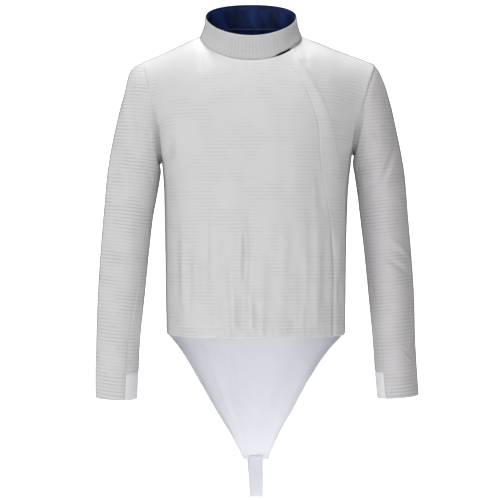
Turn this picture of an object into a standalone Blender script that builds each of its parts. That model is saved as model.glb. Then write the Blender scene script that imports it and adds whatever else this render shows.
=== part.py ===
"""Fencing lame: a sabre jacket of metallic cloth, filled out as it is worn, with nobody in it.

Metres, +Z up. The garment faces -Y, so the wearer's right is at -X. The origin lies between the
shoulders at the level of the neck, where the wearer carries it. Every cloth piece is a thin wall:
a grid of points on the piece's outer form, the same points moved in by the cloth's thickness, and
a rim between them. Sizes in the tables are in millimetres.
"""

import functools
import math

import bmesh
import bpy
import numpy as np

MM = 0.001
CLOTH = 1.6
LINING = 1.0
WHITE_CLOTH = 1.4
WEBBING = 1.8
SEAM_GAP = 0.3

RIGHT = -1
LEFT = 1
FRONT = -1
BACK = 1

# Body: level sections from the hem to the armpits. right and left are the x of the side seams,
# front and back how far the cloth stands out from them.
BODY_COLUMNS = ("height", "right", "left", "front", "back")
BODY = (
    (-537.0, -158.5, 160.5, 112.0, 112.0),
    (-480.0, -160.5, 161.5, 112.0, 109.0),
    (-400.0, -161.5, 162.5, 114.0, 107.0),
    (-330.0, -163.0, 164.0, 117.0, 109.0),
    (-270.0, -164.5, 166.5, 119.0, 114.0),
    (-220.0, -168.5, 172.0, 118.0, 118.0),
)
BODY_SQUARENESS = 2.45
HEM_SIDE = -533.0
HEM_MIDDLE = -537.0

# Armholes: the shoulder's tip and the armpit, and how far the seam bows to the front and back.
ARMHOLE_COLUMNS = ("tip_x", "tip_z", "armpit_z")
ARMHOLE = {
    RIGHT: (-204.0, -46.0, -229.0),
    LEFT: (216.0, -50.5, -213.0),
}
ARMHOLE_DEPTH = {FRONT: 57.0, BACK: 60.0}
ARMHOLE_MEAN_DEPTH = 58.5
ARMHOLE_BOW = {FRONT: -5.0, BACK: -1.0}

# Shares of a panel's height: the armpit's level, and how far the forms settle onto the armhole.
ARMPIT = 0.5
ARMHOLE_REACH = 0.3
ARMHOLE_SETTLE = 0.12

# Neck ring, from the seam at the collar's foot (rise 0) to its top edge (rise 1). pitch is how
# far the ring drops to the front and climbs to the back, saddle how far its sides are raised.
NECK_COLUMNS = ("rise", "half_width", "half_depth", "middle_y", "middle_z", "pitch", "saddle")
NECK = (
    (0.0, 91.5, 74.0, -11.5, -14.0, 37.0, 12.0),
    (0.3, 86.5, 71.0, -11.0, 0.0, 37.0, 10.5),
    (1.0, 81.5, 67.0, -9.0, 30.0, 37.0, 6.0),
)
NECK_X = -8.0
SHOULDER_SEAM_ANGLE = 8.0
NECK_SHARE = {RIGHT: 0.25, LEFT: 0.71}
NECK_PEAK = 24.0
NECK_SPREAD = 1.5
SHOULDER_PULL = (0.0, 0.99, 0.1)

# The neck seam is seated on the chest's form step by step, from a first guess of the climb.
SEAT_STEPS = 24
SEAT_ROUNDS = 12
SEAT_NUDGE = 1e-4
SEAT_GUESS = 0.8
SEAT_LOWEST = 0.05

# Front opening, from the hem (up 0) past the armpit (0.5) to the neck (1): where the fly's seam
# and its free edge cross the front, from the right side seam (0) to the left one (1).
OPENING_COLUMNS = ("up", "seam", "edge")
OPENING = (
    (0.00, 0.848, 0.922),
    (0.20, 0.846, 0.920),
    (0.30, 0.826, 0.915),
    (0.40, 0.793, 0.889),
    (0.50, 0.768, 0.838),
    (0.60, 0.762, 0.820),
    (0.70, 0.722, 0.776),
    (0.80, 0.658, 0.714),
    (0.90, 0.598, 0.658),
    (1.00, 0.554, 0.626),
)
FLY_LIFT = CLOTH + 1.5 * SEAM_GAP
FLY_RAMP = 0.3
FLY_UNDERLAP = 0.62
FLY_STITCHING = 0.81

# Large soft folds of the body. Columns: across, up, half_width and half_height in shares of the
# panel, and the height of the ridge.
FRONT_FOLDS = (
    (0.19, 0.16, 0.030, 0.18, 1.8),
    (0.27, 0.20, 0.034, 0.22, -2.4),
    (0.37, 0.12, 0.036, 0.20, 2.2),
    (0.47, 0.22, 0.022, 0.16, -2.6),
    (0.53, 0.10, 0.030, 0.14, 2.0),
    (0.66, 0.14, 0.040, 0.22, -1.8),
    (0.77, 0.20, 0.036, 0.20, 1.6),
    (0.12, 0.56, 0.045, 0.06, -3.0),
)
BACK_FOLDS = (
    (0.22, 0.20, 0.040, 0.20, 2.2),
    (0.36, 0.30, 0.040, 0.24, -2.8),
    (0.50, 0.22, 0.034, 0.22, 2.4),
    (0.63, 0.32, 0.040, 0.22, -2.6),
    (0.79, 0.18, 0.038, 0.20, 2.2),
    (0.14, 0.58, 0.050, 0.07, -3.2),
    (0.86, 0.58, 0.050, 0.07, -3.2),
)

# Sleeves, station by station from the armhole down: the outer and inner edge as seen from the
# front, the middle and half of the depth, and the angles of the two seams of the under sleeve,
# counted from the outer edge over the front (front_seam) and over the back (back_seam).
SLEEVE_COLUMNS = (
    "outer_x", "outer_z", "inner_x", "inner_z", "middle_y", "half_depth", "front_seam", "back_seam"
)
SLEEVE = {
    RIGHT: (
        (-220.5, -56.0, -169.6, -236.0, 1.0, 58.0, 151.0, 151.0),
        (-237.0, -106.0, -170.8, -246.0, 2.0, 58.0, 151.0, 150.0),
        (-254.5, -175.0, -173.5, -263.0, 4.0, 57.0, 151.0, 148.0),
        (-265.5, -236.0, -178.0, -288.0, 5.0, 55.5, 151.0, 146.0),
        (-273.0, -309.0, -185.0, -325.0, 6.0, 53.5, 151.0, 142.0),
        (-278.0, -368.0, -190.5, -372.0, 5.0, 52.0, 146.0, 138.0),
        (-283.0, -464.0, -199.0, -466.0, -5.0, 50.0, 133.0, 130.0),
        (-284.8, -544.0, -206.5, -545.0, -17.0, 46.5, 124.0, 125.0),
        (-285.2, -609.5, -209.0, -609.5, -28.0, 44.0, 121.0, 122.0),
        (-284.0, -645.0, -210.5, -648.0, -34.0, 43.0, 120.0, 120.0),
    ),
    LEFT: (
        (230.0, -80.0, 174.6, -221.0, 1.0, 58.0, 151.0, 151.0),
        (243.0, -121.0, 176.2, -234.0, 2.0, 58.0, 151.0, 150.0),
        (256.5, -181.0, 179.2, -251.0, 4.0, 57.0, 151.0, 148.0),
        (268.0, -246.0, 184.5, -288.0, 5.0, 55.5, 153.0, 146.0),
        (274.8, -322.0, 189.0, -327.0, 6.0, 53.5, 156.0, 142.0),
        (279.5, -377.0, 195.0, -379.0, 5.0, 52.0, 156.0, 138.0),
        (284.3, -462.0, 202.8, -462.0, -5.0, 50.0, 150.0, 130.0),
        (285.5, -547.0, 210.0, -545.0, -17.0, 46.5, 138.0, 125.0),
        (287.8, -607.0, 213.5, -608.0, -28.0, 44.0, 134.0, 122.0),
        (289.5, -640.0, 216.0, -646.0, -34.0, 43.0, 132.0, 120.0),
    ),
}
GUSSET_START = 0.915

# Large folds of the sleeves. Columns: angle as above, down as the share of the way from armhole
# to cuff, half_angle, half_length, the height of the ridge, and its slant.
SLEEVE_FOLDS = {
    RIGHT: (
        (60.0, 0.20, 40.0, 0.035, 2.0, 0.05),
        (75.0, 0.52, 45.0, 0.022, -2.8, 0.05),
        (50.0, 0.58, 45.0, 0.020, 2.0, -0.04),
        (-70.0, 0.50, 45.0, 0.030, 2.6, 0.05),
        (-90.0, 0.27, 45.0, 0.035, -2.6, -0.05),
        (80.0, 0.86, 40.0, 0.020, -1.8, 0.03),
    ),
    LEFT: (
        (70.0, 0.22, 40.0, 0.030, -2.6, 0.06),
        (60.0, 0.49, 45.0, 0.022, 2.4, -0.05),
        (75.0, 0.55, 45.0, 0.022, -2.8, -0.04),
        (-75.0, 0.51, 45.0, 0.030, 2.6, 0.05),
        (-85.0, 0.28, 45.0, 0.035, -2.6, -0.05),
        (40.0, 0.83, 40.0, 0.018, -2.2, 0.06),
    ),
}

# Collar: the strip starts under its own front end, runs round the back and laps over the start.
# Angles on the neck ring as in neck() below.
COLLAR_LAP_STEP = 340.0
COLLAR_END = 350.0
COLLAR_LIFT_ANGLES = (288.0, 316.0)
COLLAR_RAISE_ANGLES = (293.0, 306.0)
COLLAR_LAP_LIFT = CLOTH + SEAM_GAP
COLLAR_LAP_RAISE = 0.075
LINING_ANGLES = (-36.0, 310.0)
LINING_RISE = (0.05, 0.79)

# Crotch strap: edges and depth of the white triangle, row by row below the back hem, and the
# share of its height over which it settles onto the hem.
STRAP_COLUMNS = ("height", "right", "left", "edge_y", "middle_y")
STRAP = (
    (-535.0, -158.5, 160.5, 0.0, 112.0),
    (-564.0, -137.0, 135.5, 22.0, 110.0),
    (-629.0, -100.6, 94.4, 52.0, 104.0),
    (-677.0, -74.5, 69.5, 65.0, 97.0),
    (-734.0, -41.6, 39.7, 79.0, 88.0),
    (-772.0, -22.7, 25.0, 83.0, 83.4),
)
STRAP_SETTLE = 0.3

# Webbing loop: the middle of the webbing from the front of the triangle's tip, down and round and
# up behind it. Columns: x, as how far the webbing strays from the middle of the tip, y and z.
LOOP = (
    (0.0, 81.0, -764.0),
    (0.0, 81.0, -774.0),
    (0.0, 78.4, -788.0),
    (0.0, 75.8, -806.0),
    (0.0, 75.2, -822.0),
    (0.0, 77.2, -834.0),
    (0.0, 83.3, -840.4),
    (-0.2, 89.6, -834.0),
    (-0.6, 91.4, -822.0),
    (-1.6, 90.6, -806.0),
    (-3.0, 88.4, -788.0),
    (-4.4, 85.6, -774.0),
    (-5.0, 85.5, -765.0),
)
LOOP_WIDTH = 25.6
LOOP_X = 1.5

# Rows and columns of the cloth grids, and how much closer together the rows are near the armpit
# and the armhole.
LOOP_ROWS = 26
ROW_SPREAD = 1.25
SLEEVE_ROW_SPREAD = 1.1
ROWS_BELOW_ARMPIT = 13
ROWS_ABOVE_ARMPIT = 13
GUSSET_ROWS = 2
SHOULDER_STEPS = 5
NECK_STEPS_BACK = 10
FRONT_STEPS_RIGHT = 13
LEFT_STEPS = 4
SLEEVE_ROWS = 20
UNDER_SEAM_ROW = 3
COLLAR_RISE_ROWS = 4
STRAP_ROWS = 10

# Points this close are one point of a seam, angles this close are one angle on the armhole, and
# edges sharper than this are shaded as edges.
MEETING = 0.05
SAME_ANGLE = 0.01
SHARP_DEGREES = 50

# Materials: colour, roughness and metallic.
COLOURS = {
    "lame_cloth": ((0.62, 0.62, 0.63), 0.42, 0.75),
    "white_cloth": ((0.75, 0.76, 0.86), 0.8, 0.0),
    "webbing": ((0.80, 0.81, 0.88), 0.7, 0.0),
    "blue_lining": ((0.012, 0.035, 0.18), 0.6, 0.0),
}


def column(table, names, name):
    return np.array([row[names.index(name)] for row in table])


def hermite(start, leave, end, arrive, t):
    """The cubic from start to end that leaves and arrives with the given speeds."""
    square = t * t
    cube = square * t
    return (
        start * (2 * cube - 3 * square + 1)
        + leave * (cube - 2 * square + t)
        + end * (3 * square - 2 * cube)
        + arrive * (cube - square)
    )


def smooth(stations, values, at):
    """A smooth curve through a table's values, read at one station."""
    slopes = np.gradient(values, stations, axis=0)
    i = int(np.clip(np.searchsorted(stations, at) - 1, 0, len(stations) - 2))
    span = stations[i + 1] - stations[i]
    t = (at - stations[i]) / span
    return hermite(values[i], slopes[i] * span, values[i + 1], slopes[i + 1] * span, t)


def ease(t):
    """0 to 1 with flat ends."""
    t = min(max(t, 0.0), 1.0)
    return t * t * (3 - 2 * t)


def bump(offset, reach):
    """1 in the middle of a fold, falling to nothing at its reach."""
    distance = abs(offset) / reach
    return 0.0 if distance >= 1.0 else (1 - distance * distance) ** 2


def body_section(height):
    """Right, left, front and back of the body at a height."""
    return smooth(column(BODY, BODY_COLUMNS, "height"), np.array([row[1:] for row in BODY]), height)


def body_point(face, across, height):
    """A point of the body's outline; across runs from the right side seam to the left one."""
    right, left, front, back = body_section(height)
    half = (left - right) / 2
    depth = front if face == FRONT else back
    angle = math.pi * (1 - across)
    turn, stand = math.cos(angle), math.sin(angle)
    reach = (abs(turn / half) ** BODY_SQUARENESS + abs(stand / depth) ** BODY_SQUARENESS) ** (
        -1 / BODY_SQUARENESS
    )
    return np.array([(left + right) / 2 + reach * turn, face * reach * stand, height])


def armpit_height(across):
    right, left = (ARMHOLE[side][ARMHOLE_COLUMNS.index("armpit_z")] for side in (RIGHT, LEFT))
    return right + (left - right) * across


def hem_height(across):
    return HEM_SIDE + (HEM_MIDDLE - HEM_SIDE) * math.sin(math.pi * across)


def shoulder_tip(side):
    tip_x, tip_z, _ = ARMHOLE[side]
    return np.array([tip_x, 0.0, tip_z])


def armpit(side):
    return body_point(FRONT, 0.0 if side == RIGHT else 1.0, ARMHOLE[side][2])


def armhole(side, angle):
    """The armhole seam; 0 is the shoulder's tip, 90 the front, 180 the armpit and -90 the back."""
    tip, pit = shoulder_tip(side), armpit(side)
    turn, stand = math.cos(math.radians(angle)), math.sin(math.radians(angle))
    face = FRONT if stand >= 0 else BACK
    point = (tip + pit) / 2 + (tip - pit) / 2 * turn
    point[1] -= ARMHOLE_DEPTH[face] * stand
    point[0] += side * ARMHOLE_BOW[face] * stand * stand
    return point


def neck(angle, rise):
    """The neck ring; 0 is the left side, 90 the back, 180 the right side and 270 the front."""
    half_width, half_depth, middle_y, middle_z, pitch, saddle = smooth(
        column(NECK, NECK_COLUMNS, "rise"), np.array([row[1:] for row in NECK]), rise
    )
    turn, stand = math.cos(math.radians(angle)), math.sin(math.radians(angle))
    return np.array([
        NECK_X + half_width * turn,
        middle_y + half_depth * stand,
        middle_z + pitch * stand + saddle * turn * turn,
    ])


def neck_angle(face, across):
    """The angle on the neck ring of a column of the front or back."""
    share = (across - NECK_SHARE[RIGHT]) / (NECK_SHARE[LEFT] - NECK_SHARE[RIGHT])
    start = 180 - SHOULDER_SEAM_ANGLE
    end = SHOULDER_SEAM_ANGLE + (360 if face == FRONT else 0)
    return start + (end - start) * share


@functools.lru_cache(maxsize=None)
def ridge_table():
    """The line over the shoulders, from tip to tip, bridged over the neck's opening."""
    right, left = (neck(neck_angle(FRONT, NECK_SHARE[side]), 0) for side in (RIGHT, LEFT))
    peak = (right + left) / 2 + np.array([0.0, 0.0, NECK_PEAK])
    right_tip, left_tip = shoulder_tip(RIGHT), shoulder_tip(LEFT)
    points = (right_tip, (right_tip + right) / 2, right, peak, left, (left + left_tip) / 2, left_tip)
    low, high = NECK_SHARE[RIGHT], NECK_SHARE[LEFT]
    return np.array((0.0, low / 2, low, (low + high) / 2, high, (high + 1) / 2, 1.0)), np.array(points)


def chest_column(face, across, climb):
    """A column of cloth from the armpit's level over the chest or back to the ridge."""
    start = body_point(face, across, armpit_height(across))
    end = smooth(*ridge_table(), across)
    length = float(np.linalg.norm(end - start))
    pull = np.array(SHOULDER_PULL) * (1, -face, 1) * length
    return hermite(start, np.array([0.0, 0.0, length]), end, pull, climb)


def chest(face, across, climb):
    """The chest or back as a smooth form without its neck opening, drawn in to the armholes."""
    point = chest_column(face, across, climb)
    for side, edge in ((RIGHT, 0.0), (LEFT, 1.0)):
        near = max(0.0, 1 - abs(across - edge) / ARMHOLE_REACH) ** 2
        if near:
            seam = armhole(side, -face * 180 * (1 - climb))
            point = point + (seam - chest_column(face, edge, climb)) * near
    return point


@functools.lru_cache(maxsize=None)
def neck_seats(face):
    """Where the neck seam lies on the chest's form: its columns and how far up each it comes."""
    columns = np.linspace(NECK_SHARE[RIGHT], NECK_SHARE[LEFT], SEAT_STEPS + 1)
    nudges = np.eye(2) * SEAT_NUDGE
    seats = []
    for across in columns:
        target = neck(neck_angle(face, across), 0)
        seat = np.array([across, SEAT_GUESS])
        for _ in range(SEAT_ROUNDS):
            here = chest(face, *seat)
            slopes = np.array([here - chest(face, *(seat - nudge)) for nudge in nudges]).T
            seat = seat + np.linalg.lstsq(slopes / SEAT_NUDGE, target - here, rcond=None)[0]
            seat = np.clip(seat, SEAT_LOWEST, 1.0)
        seats.append(seat)
    seats[0] = np.array([NECK_SHARE[RIGHT], 1.0])
    seats[-1] = np.array([NECK_SHARE[LEFT], 1.0])
    return columns, np.array(seats)


def upper_body(face, across, climb):
    """The front or back above the armpit; under the neck its columns end at the neck seam."""
    if not NECK_SHARE[RIGHT] < across < NECK_SHARE[LEFT]:
        return chest(face, across, climb)
    column_end, climb_end = smooth(*neck_seats(face), across)
    moved = across + (column_end - across) * climb ** NECK_SPREAD
    point = chest(face, moved, climb * climb_end)
    settle = neck(neck_angle(face, across), 0) - chest(face, column_end, climb_end)
    return point + settle * climb * climb


def fold_height(table, across, up):
    return sum(
        ridge * bump(across - at_across, half_width) * bump(up - at_up, half_height)
        for at_across, at_up, half_width, half_height, ridge in table
    )


def body(face, across, up):
    """The outer form of the front or back, from the hem (up 0) over the armpit to the top (1)."""
    if up <= ARMPIT:
        low, high = hem_height(across), armpit_height(across)
        point = body_point(face, across, low + (high - low) * up / ARMPIT)
    else:
        point = upper_body(face, across, (up - ARMPIT) / (1 - ARMPIT))
    angle = math.pi * (1 - across)
    outward = np.array([math.cos(angle), face * math.sin(angle), 0.0])
    folds = FRONT_FOLDS if face == FRONT else BACK_FOLDS
    return point + outward * fold_height(folds, across, up)


def sleeve_stations(side):
    """The sleeve's table with the armhole as its first row, and each row's share of the length."""
    tip, pit = shoulder_tip(side), armpit(side)
    seam = under_seam_angle()
    first = (tip[0], tip[2], pit[0], pit[2], 0.0, ARMHOLE_MEAN_DEPTH, seam, seam)
    table = np.array((first,) + SLEEVE[side])
    steps = np.diff(table[:, :4], axis=0)
    lengths = np.hypot(steps[:, 0], steps[:, 1]) + np.hypot(steps[:, 2], steps[:, 3])
    shares = np.concatenate([[0.0], np.cumsum(lengths)]) / lengths.sum()
    return shares, table


def sleeve_fold(side, angle, down):
    return sum(
        ridge * bump(angle - at, half_angle)
        * bump(down - middle - slant * (angle - at) / half_angle, half_length)
        for at, middle, half_angle, half_length, ridge, slant in SLEEVE_FOLDS[side]
    )


def sleeve(side, angle, down):
    """The outer form of a sleeve; down runs from the armhole (0) to the cuff (1)."""
    shares, table = sleeve_stations(side)
    outer_x, outer_z, inner_x, inner_z, middle_y, half_depth, _, _ = smooth(shares, table, down)
    turn, stand = math.cos(math.radians(angle)), math.sin(math.radians(angle))
    outer = np.array([outer_x, middle_y, outer_z])
    inner = np.array([inner_x, middle_y, inner_z])
    point = (outer + inner) / 2 + (outer - inner) / 2 * turn
    point[1] -= half_depth * stand
    settle = max(0.0, 1 - down / ARMHOLE_SETTLE) ** 2
    start = (shoulder_tip(side) + armpit(side)) / 2
    start = start + (shoulder_tip(side) - armpit(side)) / 2 * turn
    start[1] -= ARMHOLE_MEAN_DEPTH * stand
    point = point + (armhole(side, angle) - start) * settle
    outward = np.array([side * turn, -stand, 0.0])
    return point + outward * sleeve_fold(side, angle, down)


def sleeve_seams(side, down):
    shares, table = sleeve_stations(side)
    return smooth(shares, table, down)[SLEEVE_COLUMNS.index("front_seam"):]


def opening(up):
    """Where the fly's seam and free edge cross the front at a height."""
    return smooth(
        column(OPENING, OPENING_COLUMNS, "up"), np.array([row[1:] for row in OPENING]), up
    )


def up_steps():
    """Rows of the front and back, closer together just above the armpit."""
    below = np.linspace(0, ARMPIT, ROWS_BELOW_ARMPIT + 1)
    climb = np.linspace(0, 1, ROWS_ABOVE_ARMPIT + 1) ** ROW_SPREAD
    return np.concatenate([below, ARMPIT + (1 - ARMPIT) * climb[1:]])


def arm_angles():
    """Angles on the armhole, tip to armpit, that the body's rows meet it at."""
    climb = (up_steps()[ROWS_BELOW_ARMPIT:] - ARMPIT) / (1 - ARMPIT)
    return (180 * (1 - climb))[::-1]


def under_seam_angle():
    """Where the under sleeve's two seams meet the armhole."""
    return arm_angles()[-1 - UNDER_SEAM_ROW]


def normal_of(form, a, b):
    """The outward normal of a form; a runs to the wearer's left and b up, seen from the front."""
    step = 1e-3
    low_a, high_a = max(a - step, 0.0), min(a + step, 1.0)
    low_b, high_b = max(b - step, 0.0), min(b + step, 1.0)
    along = form(high_a, b) - form(low_a, b)
    up = form(a, high_b) - form(a, low_b)
    normal = np.cross(along, up)
    return normal / np.linalg.norm(normal)


class Panel:
    """One cloth piece on a grid: its outer points, their normals, and its thickness."""

    def __init__(self, name, material, form, shares, thickness=CLOTH, lift=None, turned=False):
        self.name = name
        self.material = material
        self.thickness = thickness
        rows, columns = len(shares), len(shares[0])
        self.points = np.zeros((rows, columns, 3))
        self.normals = np.zeros((rows, columns, 3))
        self.lifts = np.zeros((rows, columns))
        for i, row in enumerate(shares):
            for j, (a, b) in enumerate(row):
                self.points[i, j] = form(a, b)
                self.normals[i, j] = normal_of(form, a, b) * (-1 if turned else 1)
                self.lifts[i, j] = lift(a, b) if lift else 0.0


def share_normals(panels):
    """Give the pieces that meet at a seam one normal there, so that their rims face squarely."""
    sums = {}
    for panel in panels:
        for point, normal in zip(panel.points.reshape(-1, 3), panel.normals.reshape(-1, 3)):
            key = tuple(np.round(point / MEETING).astype(int))
            sums[key] = sums.get(key, 0) + normal
    for panel in panels:
        flat = panel.points.reshape(-1, 3)
        for k, point in enumerate(flat):
            total = sums[tuple(np.round(point / MEETING).astype(int))]
            panel.normals.reshape(-1, 3)[k] = total / np.linalg.norm(total)


def trimmed(points):
    """The grid with each edge drawn in by half a seam's gap."""
    points = points.copy()
    for axis in (0, 1):
        grid = np.moveaxis(points, axis, 0)
        for edge, inner in ((0, 1), (-1, -2)):
            way = grid[inner] - grid[edge]
            length = np.linalg.norm(way, axis=-1, keepdims=True)
            grid[edge] += way / length * SEAM_GAP / 2
    return points


def wall(panel, collection, materials):
    """The solid of a panel: a grid extruded into a thin closed shell between two forms."""
    outer = trimmed(panel.points + panel.normals * panel.lifts[..., None])
    inner = trimmed(
        panel.points + panel.normals * (panel.lifts[..., None] - panel.thickness)
    )
    rows, columns = outer.shape[:2]
    bm = bmesh.new()
    bmesh.ops.create_grid(bm, x_segments=columns - 1, y_segments=rows - 1, size=1.0)
    bmesh.ops.triangulate(bm, faces=bm.faces[:], quad_method="FIXED")
    shell = bmesh.ops.extrude_face_region(bm, geom=bm.faces[:], use_keep_orig=True)
    raised = {item for item in shell["geom"] if isinstance(item, bmesh.types.BMVert)}
    for vert in bm.verts:
        j = round((vert.co.x + 1) / 2 * (columns - 1))
        i = round((vert.co.y + 1) / 2 * (rows - 1))
        vert.co = (outer if vert in raised else inner)[i, j] * MM
    rim = [face for face in bm.faces if len(face.verts) == 4]
    bmesh.ops.triangulate(bm, faces=rim, quad_method="SHORT_EDGE")
    bmesh.ops.recalc_face_normals(bm, faces=bm.faces[:])
    mesh = bpy.data.meshes.new(panel.name)
    bm.to_mesh(mesh)
    bm.free()
    mesh.shade_smooth()
    mesh.set_sharp_from_angle(angle=math.radians(SHARP_DEGREES))
    mesh.materials.append(materials[panel.material])
    piece = bpy.data.objects.new(panel.name, mesh)
    collection.objects.link(piece)
    return piece


def grid(across_of_row, rows):
    """Pairs of shares for each row of a panel, whose columns may move from row to row."""
    return [[(a, b) for a in across_of_row(b)] for b in rows]


def right_front_columns(up):
    """Columns of the right front, from the side seam to the fly's seam."""
    seam = opening(up)[0]
    top_seam = opening(1.0)[0]
    shoulder = np.linspace(0, NECK_SHARE[RIGHT], SHOULDER_STEPS + 1)
    neckline = np.linspace(NECK_SHARE[RIGHT], top_seam, FRONT_STEPS_RIGHT - SHOULDER_STEPS + 1)
    return np.concatenate([shoulder, neckline[1:]]) * seam / top_seam


def fly_columns(up):
    seam, edge = opening(up)
    return [seam + (edge - seam) * share for share in (0, FLY_RAMP, FLY_UNDERLAP, FLY_STITCHING, 1)]


def left_front_columns(up):
    """Columns of the left front, from under the fly to the side seam."""
    seam, edge = opening(up)
    top_edge_share = opening(1.0)[1]
    under = [seam + (edge - seam) * share for share in (FLY_UNDERLAP, FLY_STITCHING, 1)]
    neckline = np.linspace(top_edge_share, NECK_SHARE[LEFT], LEFT_STEPS // 2 + 1)[1:]
    shoulder = np.linspace(NECK_SHARE[LEFT], 1, SHOULDER_STEPS + 1)[1:]
    rest = (np.concatenate([neckline, shoulder]) - top_edge_share) / (1 - top_edge_share)
    return under + [edge + (1 - edge) * share for share in rest]


def back_columns(up):
    right = np.linspace(0, NECK_SHARE[RIGHT], SHOULDER_STEPS + 1)
    neckline = np.linspace(NECK_SHARE[RIGHT], NECK_SHARE[LEFT], NECK_STEPS_BACK + 1)
    left = np.linspace(NECK_SHARE[LEFT], 1, SHOULDER_STEPS + 1)
    return np.concatenate([right, neckline[1:], left[1:]])


def fly_lift(across, up):
    seam, edge = opening(up)
    return FLY_LIFT * ease((across - seam) / (edge - seam) / FLY_RAMP)


def front(across, up):
    return body(FRONT, across, up)


def back(across, up):
    return body(BACK, across, up)


def body_panels():
    rows = up_steps()
    return [
        Panel("front_right", "lame_cloth", front, grid(right_front_columns, rows)),
        Panel("front_fly", "lame_cloth", front, grid(fly_columns, rows), lift=fly_lift),
        Panel("front_left", "lame_cloth", front, grid(left_front_columns, rows)),
        Panel("back", "lame_cloth", back, grid(back_columns, rows), turned=True),
    ]


def sleeve_panels(side, name):
    """Upper sleeve, under sleeve and cuff gusset; their columns start where the body's rows end."""
    angles = arm_angles()
    seam = under_seam_angle()
    half = angles[angles <= seam + SAME_ANGLE]
    upper_columns = np.concatenate([-half[:0:-1], half]) / seam / 2 + 0.5
    under = angles[angles >= seam - SAME_ANGLE]
    under_columns = (np.concatenate([under, 360 - under[-2::-1]]) - seam) / (360 - 2 * seam)
    to_gusset = np.linspace(0, 1, SLEEVE_ROWS + 1) ** SLEEVE_ROW_SPREAD * GUSSET_START
    past_gusset = np.linspace(GUSSET_START, 1, GUSSET_ROWS + 1)

    def upper_form(a, down):
        front_seam, back_seam = sleeve_seams(side, down)
        turn = 2 * a - 1
        return sleeve(side, turn * (front_seam if turn > 0 else back_seam), down)

    def under_form(a, down):
        front_seam, back_seam = sleeve_seams(side, down)
        return sleeve(side, front_seam + a * (360 - back_seam - front_seam), down)

    turned = side == RIGHT
    whole = np.concatenate([to_gusset, past_gusset[1:]])
    return [
        Panel(f"sleeve_upper_{name}", "lame_cloth", upper_form,
              grid(lambda down: upper_columns, whole), turned=turned),
        Panel(f"sleeve_under_{name}", "lame_cloth", under_form,
              grid(lambda down: under_columns, to_gusset), turned=turned),
        Panel(f"cuff_gusset_{name}", "white_cloth", under_form,
              grid(lambda down: under_columns, past_gusset), turned=turned),
    ]


def collar_angles():
    """Angles of the collar's columns: those of the neck seam, and on over the lap."""
    left = [neck_angle(FRONT, a) - 360 for a in left_front_columns(1.0) if a <= NECK_SHARE[LEFT]]
    behind = np.linspace(SHOULDER_SEAM_ANGLE, 180 - SHOULDER_SEAM_ANGLE, NECK_STEPS_BACK + 1)
    right = [neck_angle(FRONT, a) for a in right_front_columns(1.0) if a > NECK_SHARE[RIGHT]]
    fly = [neck_angle(FRONT, a) for a in fly_columns(1.0)][1:]
    return np.concatenate([left, behind[1:], right, fly, [COLLAR_LAP_STEP, COLLAR_END]])


def ramp(angles, angle):
    return ease((angle - angles[0]) / (angles[1] - angles[0]))


def collar_panels():
    angles = collar_angles()
    first, last = angles[0], angles[-1]
    columns = (angles - first) / (last - first)

    def angle_at(a):
        return first + (last - first) * a

    def form(a, rise):
        angle = angle_at(a)
        raised = COLLAR_LAP_RAISE * ramp(COLLAR_RAISE_ANGLES, angle)
        return neck(angle, raised + (1 - raised) * rise)

    def lap_lift(a, rise):
        return COLLAR_LAP_LIFT * ramp(COLLAR_LIFT_ANGLES, angle_at(a))

    def lining_lift(a, rise):
        return lap_lift(a, rise) - CLOTH - SEAM_GAP

    rises = np.linspace(0, 1, COLLAR_RISE_ROWS + 1)
    low, high = LINING_RISE
    inside = [a for a in columns if LINING_ANGLES[0] < angle_at(a) < LINING_ANGLES[1]]
    lining_rows = low + (high - low) * np.linspace(0, 1, COLLAR_RISE_ROWS)
    return [
        Panel("collar", "lame_cloth", form, grid(lambda rise: columns, rises),
              lift=lap_lift),
        Panel("collar_lining", "blue_lining", form, grid(lambda rise: inside, lining_rows),
              thickness=LINING, lift=lining_lift),
    ]


def strap_row(down):
    heights = -column(STRAP, STRAP_COLUMNS, "height")
    height = heights[0] + (heights[-1] - heights[0]) * down
    return -height, smooth(heights, np.array([row[1:] for row in STRAP]), height)


def strap_base(across, down):
    """The triangle as a sheet that hangs from the back half of the hem and narrows to its tip."""
    right, left, edge_y, middle_y = strap_row(down)[1]
    hem_right, hem_left, _, hem_back = body_section(HEM_MIDDLE)
    hem = body_point(BACK, across, HEM_MIDDLE)
    share = (hem[0] - hem_right) / (hem_left - hem_right)
    depth = edge_y + (middle_y - edge_y) * hem[1] / hem_back
    return np.array([right + (left - right) * share, depth, strap_row(down)[0]])


def strap(across, down):
    settle = max(0.0, 1 - down / STRAP_SETTLE) ** 2
    hem = back(across, 0.0)
    return strap_base(across, down) + (hem - strap_base(across, 0.0)) * settle


def strap_panel():
    rows = np.linspace(0, 1, STRAP_ROWS + 1)
    return Panel("crotch_strap", "white_cloth", strap, grid(lambda down: back_columns(0.0), rows),
                 thickness=WHITE_CLOTH)


def loop_panel():
    middle = np.array(LOOP)
    lengths = np.linalg.norm(np.diff(middle, axis=0), axis=1)
    shares = np.concatenate([[0.0], np.cumsum(lengths)]) / lengths.sum()

    def form(a, along):
        point = smooth(shares, middle, along)
        return point + np.array([LOOP_X + (a - 0.5) * LOOP_WIDTH, 0.0, 0.0])

    rows = np.linspace(0, 1, LOOP_ROWS + 1)
    return Panel("strap_loop", "webbing", form, grid(lambda along: (0.0, 0.5, 1.0), rows),
                 thickness=WEBBING, lift=lambda a, along: WEBBING / 2, turned=True)


def cloth_material(name, colour, roughness, metallic):
    material = bpy.data.materials.new(name)
    material.use_nodes = True
    shader = material.node_tree.nodes["Principled BSDF"]
    shader.inputs["Base Color"].default_value = (*colour, 1)
    shader.inputs["Roughness"].default_value = roughness
    shader.inputs["Metallic"].default_value = metallic
    return material


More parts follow.
